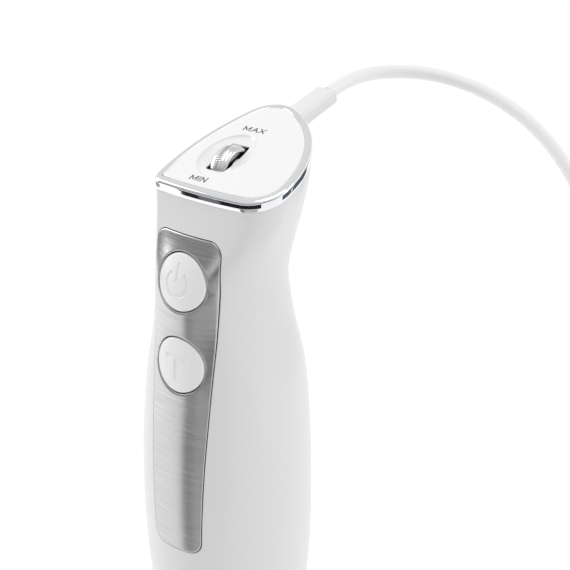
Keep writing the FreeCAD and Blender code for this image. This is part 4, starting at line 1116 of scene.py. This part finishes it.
def strokeDepth(u, v, name):
    # How deep the engraved sign is at each point of a cap: a power sign or a T, as distance from
    # its strokes.
    if name == "power":
        r = np.hypot(u + 0.5, v + 0.5)
        turn = np.arctan2(u + 0.5, v + 0.5)
        ends = 0.75
        arc = np.where(np.abs(turn) > ends, np.abs(r - 4.4),
                       np.minimum(np.hypot(u + 0.5 - 4.4 * math.sin(ends), v + 0.5 - 4.4 * math.cos(ends)),
                                  np.hypot(u + 0.5 + 4.4 * math.sin(ends), v + 0.5 - 4.4 * math.cos(ends))))
        bar = np.hypot(u + 0.5, v - np.clip(v, 0.6, 6.2))
        away = np.minimum(arc, bar)
    else:
        bar = np.hypot(u - np.clip(u, -4.2, 3.4), v - 3.0)
        stem = np.hypot(u + 0.4, v - np.clip(v, -5.2, 3.0))
        away = np.minimum(bar, stem) - 0.2
    return button["engraving"] * smooth((button["stroke"] - away) / 0.35 + 0.5)


def makeButton(name, body):
    # A cap that follows the handle's skin, with a round edge and an engraved sign; a flange and a
    # stem behind it.
    # The cap's grid is a square drawn out to a circle, so that its rim has even steps.
    b = button
    base, rightDir, upDir, inDir = buttonFrame(name)
    n = 104
    side = np.linspace(-1, 1, n + 1)
    p, q = np.meshgrid(side, side, indexing="ij")
    big = np.maximum(np.abs(p), np.abs(q))
    wide = np.abs(p) >= np.abs(q)
    safe = np.where(big == 0, 1, np.where(wide, p, q))
    turn = np.where(wide, math.pi / 4 * q / safe, math.pi / 2 - math.pi / 4 * p / safe)
    turn = np.where(safe < 0, turn + math.pi, turn)
    share = 1 - (1 - big) ** 1.25       # rows a little closer together at the rim
    r = b["radius"] * share
    u, v = r * np.cos(turn), r * np.sin(turn)
    at = findOnHandle(u, v, base, rightDir, upDir, -math.pi / 2)
    skin = (handlePoint(*at) - base) @ inDir
    t = np.clip((b["radius"] - r) / b["edge"], 0, 1)
    edge = b["edge"] * (1 - np.sqrt(1 - (1 - t) ** 2))
    dome = 0.25 * (r / b["radius"]) ** 2
    depth = skin - b["proud"] + 0.05 + edge + dome + strokeDepth(u, v, name)
    cap = base + u[..., None] * rightDir + v[..., None] * upDir + depth[..., None] * inDir
    rim = np.concatenate([cap[:, 0][:-1], cap[-1][:-1], cap[::-1, -1][:-1], cap[0, ::-1]])
    around = (rim - base) @ rightDir, (rim - base) @ upDir
    length = np.hypot(*around)
    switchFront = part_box("tact_switches")[0].y / mm
    stemEnd = (switchFront - b["travel"] - b["stop"] - base[1] + b["stem"] * inDir[2]) / inDir[1]
    back = b["capDepth"]
    rows = [rim]
    for radius, deep in ((b["radius"], back - 0.8), (b["radius"], back), (b["radius"] + b["flange"], back),
                         (b["radius"] + b["flange"], back + b["flangeThickness"]),
                         (b["stem"] + 0.6, back + b["flangeThickness"]),
                         (b["stem"], back + b["flangeThickness"] + 0.6), (b["stem"], stemEnd - 0.3),
                         (b["stem"] - 0.3, stemEnd), (0, stemEnd)):
        ring = base + (around[0] / length * radius)[:, None] * rightDir \
            + (around[1] / length * radius)[:, None] * upDir
        rows.append(ring + deep * inDir)
    mesh = meshFromGrids(name + "_cap", [cap, np.array(rows)], 40)
    return addPiece(name + "_cap", mesh, buttonWhite, body, [name + "_button"])


makeButton("power", "power_key")
makeButton("turbo", "turbo_key")

spring = {"radius": 5.4, "wire": 0.35, "turns": 4, "steps": 28, "foot": 1.3, "switchDepth": 4.0}


def makeSpring(name):
    # A round wire wound from a button's flange to just short of the board.
    p, b = spring, button
    base, rightDir, upDir, inDir = buttonFrame(name)
    board = (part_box("tact_switches")[0].y / mm + p["switchDepth"] - base[1]) / inDir[1]
    first, last = b["capDepth"] + b["flangeThickness"] + p["wire"] + 0.05, board - p["foot"] - p["wire"] - 0.05
    turn = np.linspace(0, 2 * math.pi * p["turns"], p["steps"] * p["turns"] + 1)
    along = first + (last - first) * turn / turn[-1]
    out = np.cos(turn)[:, None] * rightDir + np.sin(turn)[:, None] * upDir
    pitch = (last - first) / turn[-1] / p["radius"]
    run = np.cos(turn)[:, None] * upDir - np.sin(turn)[:, None] * rightDir + pitch * inDir
    run /= np.linalg.norm(run, axis=1)[:, None]
    across = np.cross(run, out)
    middle = base + out * p["radius"] + along[:, None] * inDir
    around = np.linspace(0, 2 * math.pi, 13)
    around[-1] = 0.0
    tube = middle[:, None] + p["wire"] * (np.cos(around)[None, :, None] * out[:, None]
                                    + np.sin(around)[None, :, None] * across[:, None])
    grid = np.concatenate([np.repeat(middle[:1, None], 13, axis=1), tube,
                           np.repeat(middle[-1:, None], 13, axis=1)])
    piece = addPiece(name + "_coil", meshFromGrids(name + "_coil", [grid], 40), springSteel, "handle",
                     [name + "_spring"])
    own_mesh(piece)


makeSpring("power")
makeSpring("turbo")


def makeRelease(side, name, body):
    # A pill-shaped key with a cushioned face and three grip ridges, on the handle's side.
    low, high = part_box(name)
    half, rise = release["halfWidth"], release["rise"]
    pill = sideLoop([(-half, -rise - half), (half, -rise - half), (half, rise + half),
                     (-half, rise + half)],
                    [half] * 4, [24, 40, 24, 40], 12)
    outerX = max(abs(low.x), abs(high.x)) / mm
    innerX = min(abs(low.x), abs(high.x)) / mm
    rows = []
    # share of the outline, depth below the face
    for share, sunk in ((0.0, outerX - innerX), (1.0, outerX - innerX), (1.0, 1.2), (1.0, 0.7),
                        (0.985, 0.42), (0.955, 0.2),
                        (0.91, 0.08), (0.86, 0.03)):
        rows.append(np.stack([np.full(len(pill), sunk), pill[:, 0] * share, pill[:, 1] * share], axis=-1))
    for share in np.linspace(0.83, 0.0, 42):
        y, z = pill[:, 0] * share, pill[:, 1] * share
        ridge = 0.28 * smooth((np.cos(2 * math.pi * z / 2.2) + 0.2) / 1.0) \
            * smooth((3.9 - np.abs(z)) / 0.8) * smooth((0.8 - share) / 0.15)
        rows.append(np.stack([0.3 * (1 - ridge / 0.28) * smooth((0.86 - share) / 0.1) + 0 * y, y, z],
                             axis=-1))
    grid = np.array(rows)
    points = np.stack([side * (outerX - grid[..., 0]), grid[..., 1], release["height"] + grid[..., 2]],
                      axis=-1)
    return addPiece(name + "_key", meshFromGrids(name + "_key", [points], 45), buttonWhite, body,
                    [name])


makeRelease(-1, "left_release_button", "left_latch")
makeRelease(1, "right_release_button", "right_latch")

print("stage 7: head")

plate = {
    "sunk": 0.12, "gap": 0.12, "thickness": 3.0, "edge": 0.35, "dishWide": 9.9, "dishLong": 13.3,
    "dishDeep": 1.9,
    "slotWide": 8.2, "slotLong": 16.6,
}
wheel = {"radius": 9.5, "width": 6.8, "depth": 7.3, "axle": 1.5, "ribs": 66, "ribDepth": 0.5,
         "columns": 528}
lettering = {
    "height": 2.4, "thickness": 0.03, "weight": 0.42, "spacing": (1.0, 0.75),
    # word, left end and foot on the plate
    "words": [("MIN", -3.9, -17.1), ("MAX", -4.0, 15.5)],
}


def makeBand():
    # The chrome band: a profile carried round the head's outline, sunk straight down.
    # Outside a plain side with a round top edge, then a crowned lip that falls to the plate.
    h = head
    lip, tall, rounding = h["bandLip"], h["bandHeight"], 1.15
    profile = [(0.25, tall), (0.07, tall - 0.06), (0.0, tall - 0.25), (0.0, 2.4), (0.0, rounding + 0.35)]
    profile += [(rounding * (1 - math.cos(t)),
                 rounding * (1 - math.sin(t)) + 0.0) for t in np.linspace(0.0, math.pi / 2, 11)]
    profile += [(x, 0.16 * ((x - rounding) / (lip - rounding)) ** 2)
                for x in np.linspace(rounding, lip - 0.2, 8)[1:]]
    profile += [(lip - 0.07, 0.22), (lip, 0.36), (lip, 1.2), (lip, tall), (1.4, tall), (0.25, tall)]
    rows = []
    for inset, sunk in profile:
        line = outlineLoop(inset)
        rows.append(platePoint(line[:, 0], line[:, 1], sunk))
    mesh = meshFromGrids("trim_band", [np.array(rows)], 40)
    return addPiece("trim_band", mesh, chromeTrim, "handle", ["chrome_band"])


def makePlate():
    # The white top plate: rings from the wheel's slot through its hollow to the outline, then the
    # rim and underside.
    p = plate
    sink = p["sunk"]
    outline = outlineLoop(head["bandLip"] + p["gap"] + p["edge"], 36, 44)
    turn = np.arctan2(outline[:, 1] / p["dishLong"], outline[:, 0] / p["dishWide"])
    ellipse = np.stack([p["dishWide"] * np.cos(turn), p["dishLong"] * np.sin(turn)], axis=-1)
    # the slot: where the same directions meet a rectangle with softened corners
    w, l, soft = p["slotWide"] / 2, p["slotLong"] / 2, 12.0
    dx, dy = np.cos(turn) * p["dishWide"], np.sin(turn) * p["dishLong"]
    scale = ((np.abs(dx) / w) ** soft + (np.abs(dy) / l) ** soft) ** (-1 / soft)
    slot = np.stack([dx * scale, dy * scale], axis=-1)

    def hollow(line):
        # Depth of the dish: half an ellipsoid, with its rim eased.
        far = (line[:, 0] / p["dishWide"]) ** 2 + (line[:, 1] / p["dishLong"]) ** 2
        return p["dishDeep"] * np.sqrt(np.clip(1 - far, 0, 1)) * smooth((1 - far) / 0.12) + 0.0

    def level(line, sunk):
        return inPlate(np.stack([line[:, 0], line[:, 1], -sunk * np.ones(len(line))], axis=-1))

    rows = [level(slot, hollow(slot) + 2.0), level(slot, hollow(slot) + 0.3)]
    for share, ease in ((0.012, 0.1), (0.04, 0.02), (0.08, 0), (0.2, 0), (0.35, 0), (0.5, 0), (0.63, 0),
                        (0.74, 0), (0.83, 0),
                        (0.9, 0), (0.94, 0), (0.965, 0), (0.985, 0), (1.0, 0)):
        line = slot * (1 - share) + ellipse * share
        rows.append(level(line, sink * smooth(share) + hollow(line) + ease))
    for share in (0.03, 0.1, 0.25, 0.45, 0.65, 0.85, 1.0):
        line = ellipse * (1 - share) + outline * share
        rows.append(level(line, sink))
    for t in np.linspace(0.2, math.pi / 2, 5):
        line = outlineLoop(head["bandLip"] + p["gap"] + p["edge"] * (1 - math.sin(t)), 36, 44)
        rows.append(level(line, sink + p["edge"] * (1 - math.cos(t))))
    rim = outlineLoop(head["bandLip"] + p["gap"], 36, 44)
    rows.append(level(rim, 2.4))
    rows.append(level(slot * 0.4 + rim * 0.6, 2.6))
    rows.append(rows[0])
    liner = [level(slot * share, hollow(slot) + deep)
             for share, deep in ((0.996, 0.45), (0.996, 4.4), (0.975, 4.4), (0.975, 0.5), (0.996, 0.45))]
    addPiece("slot_liner", meshFromGrids("slot_liner", [np.array(liner)], 35), darkPlastic, "handle")
    mesh = meshFromGrids("head_plate", [np.array(rows)], 35)
    return addPiece("head_plate", mesh, plateWhite, "handle", ["top_plate"])


letterStrokes = {
    # width, and the strokes from 0 to 1 across and up
    "M": (2.5, [((0, 0), (0, 1)), ((0, 1), (0.5, 0.2)), ((0.5, 0.2), (1, 1)), ((1, 1), (1, 0))]),
    "I": (0.0, [((0, 0), (0, 1))]),
    "N": (1.95, [((0, 0), (0, 1)), ((0, 1), (1, 0)), ((1, 0), (1, 1))]),
    "A": (2.4, [((0, 0), (0.5, 1)), ((0.5, 1), (1, 0)), ((0.2, 0.36), (0.8, 0.36))]),
    "X": (2.2, [((0, 0), (1, 1)), ((0, 1), (1, 0))]),
}


def makeLettering():
    # The two plain words beside the wheel, as thin raised print on the plate, one flat bar for each stroke.
    t = lettering
    for word, left, low in t["words"]:
        bars, x = [], left
        for letter in word:
            width, strokes = letterStrokes[letter]
            for number, (first, last) in enumerate(strokes):
                a = np.array([x + first[0] * width, low + first[1] * t["height"]])
                b = np.array([x + last[0] * width, low + last[1] * t["height"]])
                run = (b - a) / np.linalg.norm(b - a)
                a, b = a - run * t["weight"] * 0.4, b + run * t["weight"] * 0.4
                side = np.array([-run[1], run[0]]) * t["weight"] / 2
                top = t["thickness"] - plate["sunk"] + 0.002 * number
                bottom = -plate["sunk"] - 0.02
                ring = [a + side, b + side, b - side, a - side, a + side]
                middle = (a + b) / 2
                rows = [[(*middle, bottom)] * 5, [(*p, bottom) for p in ring], [(*p, top) for p in ring],
                        [(*middle, top)] * 5]
                bars.append(inPlate(np.array(rows)))
            x += width + t["spacing"][letter in "AX"]
        addPiece(word.lower() + "_mark", meshFromGrids(word.lower() + "_mark", bars, 30), inkGrey,
                 "handle")


def makeWheel():
    # The speed wheel: a rounded profile turned round the axle, with fine ribs in its middle band.
    w = wheel
    half, r = w["width"] / 2, w["radius"]
    side = [(w["axle"], half - 0.5), (3.6, half - 0.5), (4.0, half - 0.1), (4.6, half - 0.05),
            (5.0, half - 0.45), (7.1, half - 0.45),
            (7.35, half - 0.1), (7.7, half)]
    side += [(r - 1.7 + 1.25 * math.sin(t), half - 1.6 + 1.6 * math.cos(t))
             for t in np.linspace(0.1, math.pi / 2, 9)]
    side += [(r - 0.30, 1.5), (r - 0.2, 1.32), (r - 0.26, 1.2), (r - 0.36, 1.16), (r - 0.34, 1.08),
             (r - 0.12, 1.0), (r - 0.05, 0.85),
             (r - 0.02, 0.45), (r, 0.0)]
    profile = side + [(radius, -x) for radius, x in side[::-1][1:]] + [side[0]]

    def ribs(radius, along, angle):
        band = smooth((0.98 - np.abs(along)) / 0.2) * (radius > r - 0.6)
        return -w["ribDepth"] * band * smooth(0.5 - 0.9 * np.cos(w["ribs"] * angle))

    grid = lathe(profile, w["columns"], (0, 0, 0), "x", ribs)
    centre = inPlate(np.array([0.0, 0.0, -w["depth"]]))
    mesh = meshFromGrids("thumb_wheel", [grid + centre], 42)
    return addPiece("thumb_wheel", mesh, wheelChrome, "wheel", ["speed_wheel"])


makeBand()
makePlate()
makeLettering()
makeWheel()

print("stage 8: shaft, bell and blade")

bell = {
    "radius": 33.0, "height": 46.0, "wall": 1.3, "tube": 12.5, "tubeWall": 0.9, "shoulder": 34.0,
    "columns": 192,
    "windowLow": 4.2, "windowHigh": 10.6, "windowHalf": 10.2,
}


def throughPoints(points, count=40):
    # A smooth curve through a few points: a cubic between neighbours, by chord length.
    p = np.array(points, float)
    s = np.concatenate([[0], np.cumsum(np.linalg.norm(np.diff(p, axis=0), axis=1))])
    slope = np.gradient(p, s, axis=0)
    at = np.linspace(0, s[-1], count)
    i = np.clip(np.searchsorted(s, at) - 1, 0, len(s) - 2)
    step = (s[i + 1] - s[i])[:, None]
    t = ((at - s[i]) / step[:, 0])[:, None]
    return ((2 * t ** 3 - 3 * t ** 2 + 1) * p[i] + (t ** 3 - 2 * t ** 2 + t) * slope[i] * step
            + (3 * t ** 2 - 2 * t ** 3) * p[i + 1] + (t ** 3 - t ** 2) * slope[i + 1] * step)


def makeBell():
    # The bell: an outer and an inner profile turned round the axis, joined at the foot, the neck and
    # round four long windows just above the foot.
    b = bell
    reach = b["radius"] - b["tube"]
    wall = b["wall"]
    outerCurve = throughPoints([(b["radius"], 11), (b["radius"] - 0.07 * reach, 0.5 * b["shoulder"]),
                                (b["tube"] + 0.45 * reach, b["shoulder"] - 1),
                                (b["tube"] + 0.02 * reach, b["height"])])
    innerCurve = throughPoints([(b["radius"] - wall, 11),
                                (b["radius"] - wall - 0.08 * reach, 0.5 * b["shoulder"] - 1),
                                (b["tube"] + 0.45 * reach - 1, b["shoulder"] - 2.6),
                                (b["tube"] - b["tubeWall"], b["shoulder"] + 1)])
    foot = [0.0, 0.12, 0.4, 1.0, 2.2]
    windowRows = np.linspace(3.4, 11.0, 9)
    outerRadius = lambda z: b["radius"] - 0.35 * (1 - smooth(z / 0.4))
    innerRadius = lambda z: b["radius"] - wall + 0.35 * (1 - smooth(z / 0.4))
    columns = b["columns"]
    angles = np.linspace(0, 2 * math.pi, columns + 1) - math.pi / 4
    angles[-1] = angles[0]
    ring = lambda r, z, a: np.stack(np.broadcast_arrays(r * np.cos(a), r * np.sin(a), z), axis=-1)
    lowRows = np.array(foot + list(windowRows))
    keep = np.ones((len(lowRows) - 1, columns), bool)
    quarter = columns // 4
    reachSteps = 11
    first = len(foot)
    grids = []
    for k in range(4):
        middle = (k * quarter + quarter) % columns      # windows stand between the axes
        at = np.arange(middle - reachSteps, middle + reachSteps) % columns
        keep[first:, at] = False
    for radiusOf in (outerRadius, innerRadius):
        z = lowRows[:, None]
        grids.append((ring(radiusOf(z), z, angles[None, :]), keep))
    for k in range(4):
        middle = k * quarter + quarter
        turn = 2 * math.pi * middle / columns - math.pi / 4
        a = turn + np.linspace(-reachSteps, reachSteps, 2 * reachSteps + 1) * 2 * math.pi / columns
        rise = (b["windowHigh"] - b["windowLow"]) / 2
        outline = sideLoop([(-b["windowHalf"], -rise), (b["windowHalf"], -rise), (b["windowHalf"], rise),
                            (-b["windowHalf"], rise)],
                           [rise] * 4, [2 * reachSteps, 8, 2 * reachSteps, 8], 4)
        loop = np.stack([turn + outline[:, 0] / b["radius"],
                         (b["windowLow"] + b["windowHigh"]) / 2 + outline[:, 1]], axis=-1)
        both = []
        for radius in (b["radius"], b["radius"] - wall):
            both.append(shellPatch((a, windowRows), [loop], [0.0], lambda t, z, i, r=radius: ring(r, z, t)))
        grids += both + [between(both[0][0], both[1][0], (0.0, 0.5, 1.0))]
    outerLine = np.concatenate([[[b["radius"], 11.0]], outerCurve[1:]])
    innerLine = np.concatenate([[[b["radius"] - wall, 11.0]], innerCurve[1:]])
    top = [(b["tube"] + 0.3, b["height"]), (b["tube"] - b["tubeWall"], b["height"]),
           (b["tube"] - b["tubeWall"], b["shoulder"] + 1)]
    line = np.concatenate([outerLine, np.array(top), innerLine[::-1][1:]])
    grids.append(ring(line[:, :1], line[:, 1:], angles[None, :]))
    grids.append(np.array([ring(outerRadius(0.0), 0.0, angles), ring(innerRadius(0.0), 0.0, angles)]))
    mesh = meshFromGrids("steel_bell", grids, 35)
    return addPiece("steel_bell", mesh, shaftSteel, "shaft", ["bell_guard"])


makeBell()


def makeBlade():
    # The blade: two wings of a hub plate, as a grid along the span and across the chord. One tip
    # bends down and
    # the other up, and each wing's leading edge is ground to an edge.
    span, thick, bend = 22.9, 1.5, 4.1
    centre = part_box("blade_spacer")[0].z / mm - 1.6
    along = np.linspace(-1, 1, 121)
    across = np.linspace(-1, 1, 25)
    s, c = np.meshgrid(along, across, indexing="ij")
    far = np.abs(s) * span
    hub = np.sqrt(np.clip(6.2 ** 2 - np.minimum(far, 6.19) ** 2, 0, None))
    front = np.maximum(np.where(far > 11.5, 5.0 - 2.5 * (far - 11.5) / (span - 11.5), 5.0), hub)
    back = np.maximum(np.where(far > 11.5, 3.0 - 1.2 * (far - 11.5) / (span - 11.5),
                               5.0 - 2.0 * far / 11.5), hub)
    tipRound = np.sqrt(np.clip(1 - ((far - (span - 2.0)) / 2.0).clip(0, 1) ** 2, 0, 1)) * 0.5 + 0.5
    side = np.where(c < 0, c * front, c * back) * tipRound
    y = np.where(s > 0, side, -side)
    lift = bend * smooth((far - 10.5) / 12.5) * 1.0
    z = centre + np.where(s > 0, -lift, lift)
    groundEdge = np.clip((front - (-side)) / 2.6, 0, 1)
    edge = np.where(far > 8.0, np.clip(0.12 + groundEdge * 0.88, 0.12, 1), 1.0)
    topSide = np.stack([s * span, y, z + thick * edge], axis=-1)
    bottomSide = np.stack([s * span, y, z + 0 * edge], axis=-1)
    rim = lambda g: np.concatenate([g[:, 0], g[-1, 1:], g[::-1, -1][1:], g[0, ::-1][1:]])
    grids = [topSide, bottomSide, np.stack([rim(topSide), rim(bottomSide)])]
    mesh = meshFromGrids("cutting_blade", grids, 25)
    return addPiece("cutting_blade", mesh, bladeSteel, "cutter", ["blade"])


makeBlade()


def makeTurnedParts():
    # Turned parts of the shaft that show, from below or when it is taken off.
    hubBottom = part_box("shaft_hub")[0].z / mm
    rim = handle["bottom"]
    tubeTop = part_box("shaft_tube")[1].z / mm
    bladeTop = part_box("blade_spacer")[0].z / mm
    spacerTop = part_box("blade_spacer")[1].z / mm
    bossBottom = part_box("bell_boss")[0].z / mm
    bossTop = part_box("bell_boss")[1].z / mm
    collar = 26.5
    hubSide = throughPoints([(15.1, hubBottom + 4), (20.2, hubBottom + 14), (collar - 2.4, rim - 9),
                             (collar - 0.5, rim - 3.5)], 24)
    hub = [(12.6, hubBottom), (13.7, hubBottom), (14.1, hubBottom + 0.4),
           (14.3, hubBottom + 1.4)] + [tuple(p) for p in hubSide]
    hub += [(collar - 0.22, rim - 2.0), (collar - 0.2, rim - 0.8), (collar - 0.55, rim - 0.4),
            (20.9, rim - 0.4)]
    hub += softened([(20.8, rim - 0.4), (20.8, rim + 13), (18.8, rim + 13), (18.8, rim - 2),
                     (8.5, tubeTop + 2), (8.5, tubeTop),
                     (12.6, tubeTop)], [0, 0.5, 0.5, 0.6, 0.4, 0.2, 0], 3, False).tolist()
    hub += [(12.6, hubBottom)]
    tube = [(12.5, 45.9), (12.5, 60), (12.5, 100), (12.5, tubeTop - 0.1), (11.7, tubeTop - 0.1),
            (11.65, 100), (11.65, 45.9), (12.5, 45.9)]
    boss = softened([(4.6, bossBottom), (7.5, bossBottom), (9.0, bossBottom + 3), (11.5, bossTop - 17),
                     (11.5, bossTop),
                     (4.6, bossTop)], [0.2, 0.5, 0.8, 1.0, 0.3, 0.2], 4).tolist()
    nutTop = bladeTop - 1.6
    nut = [(0, nutTop - 5.0), (2.4, nutTop - 5.0), (3.0, nutTop - 4.8), (4.4, nutTop - 3.7),
           (4.6, nutTop - 3.3), (4.6, nutTop - 0.1),
           (2.52, nutTop - 0.1), (2.52, nutTop - 2.9), (0, nutTop - 2.9)]
    spacer = softened([(2.52, bladeTop + 0.05), (4.4, bladeTop + 0.05), (4.4, spacerTop),
                       (2.52, spacerTop)], 0.3, 3).tolist()
    parts = [
        ("hub_cover", hub, 160, hubWhite, "shaft", "shell_white", "shaft_hub", 30),
        ("steel_tube", tube, 128, shaftSteel, "shaft", "shaft_steel", "shaft_tube", 30),
        ("seal_boss", boss, 96, darkPlastic, "shaft", "dark_plastic", "bell_boss", 35),
        ("domed_nut", nut, 64, bladeSteel, "cutter", "blade_steel", "blade_nut", 35),
        ("spacer_ring", spacer, 64, drivePlastic, "cutter", "drive_plastic", "blade_spacer", 35),
    ]
    for name, profile, columns, material, body, slot, node, sharp in parts:
        addPiece(name, meshFromGrids(name, [lathe(profile, columns)], sharp), material, body, [node])


makeTurnedParts()
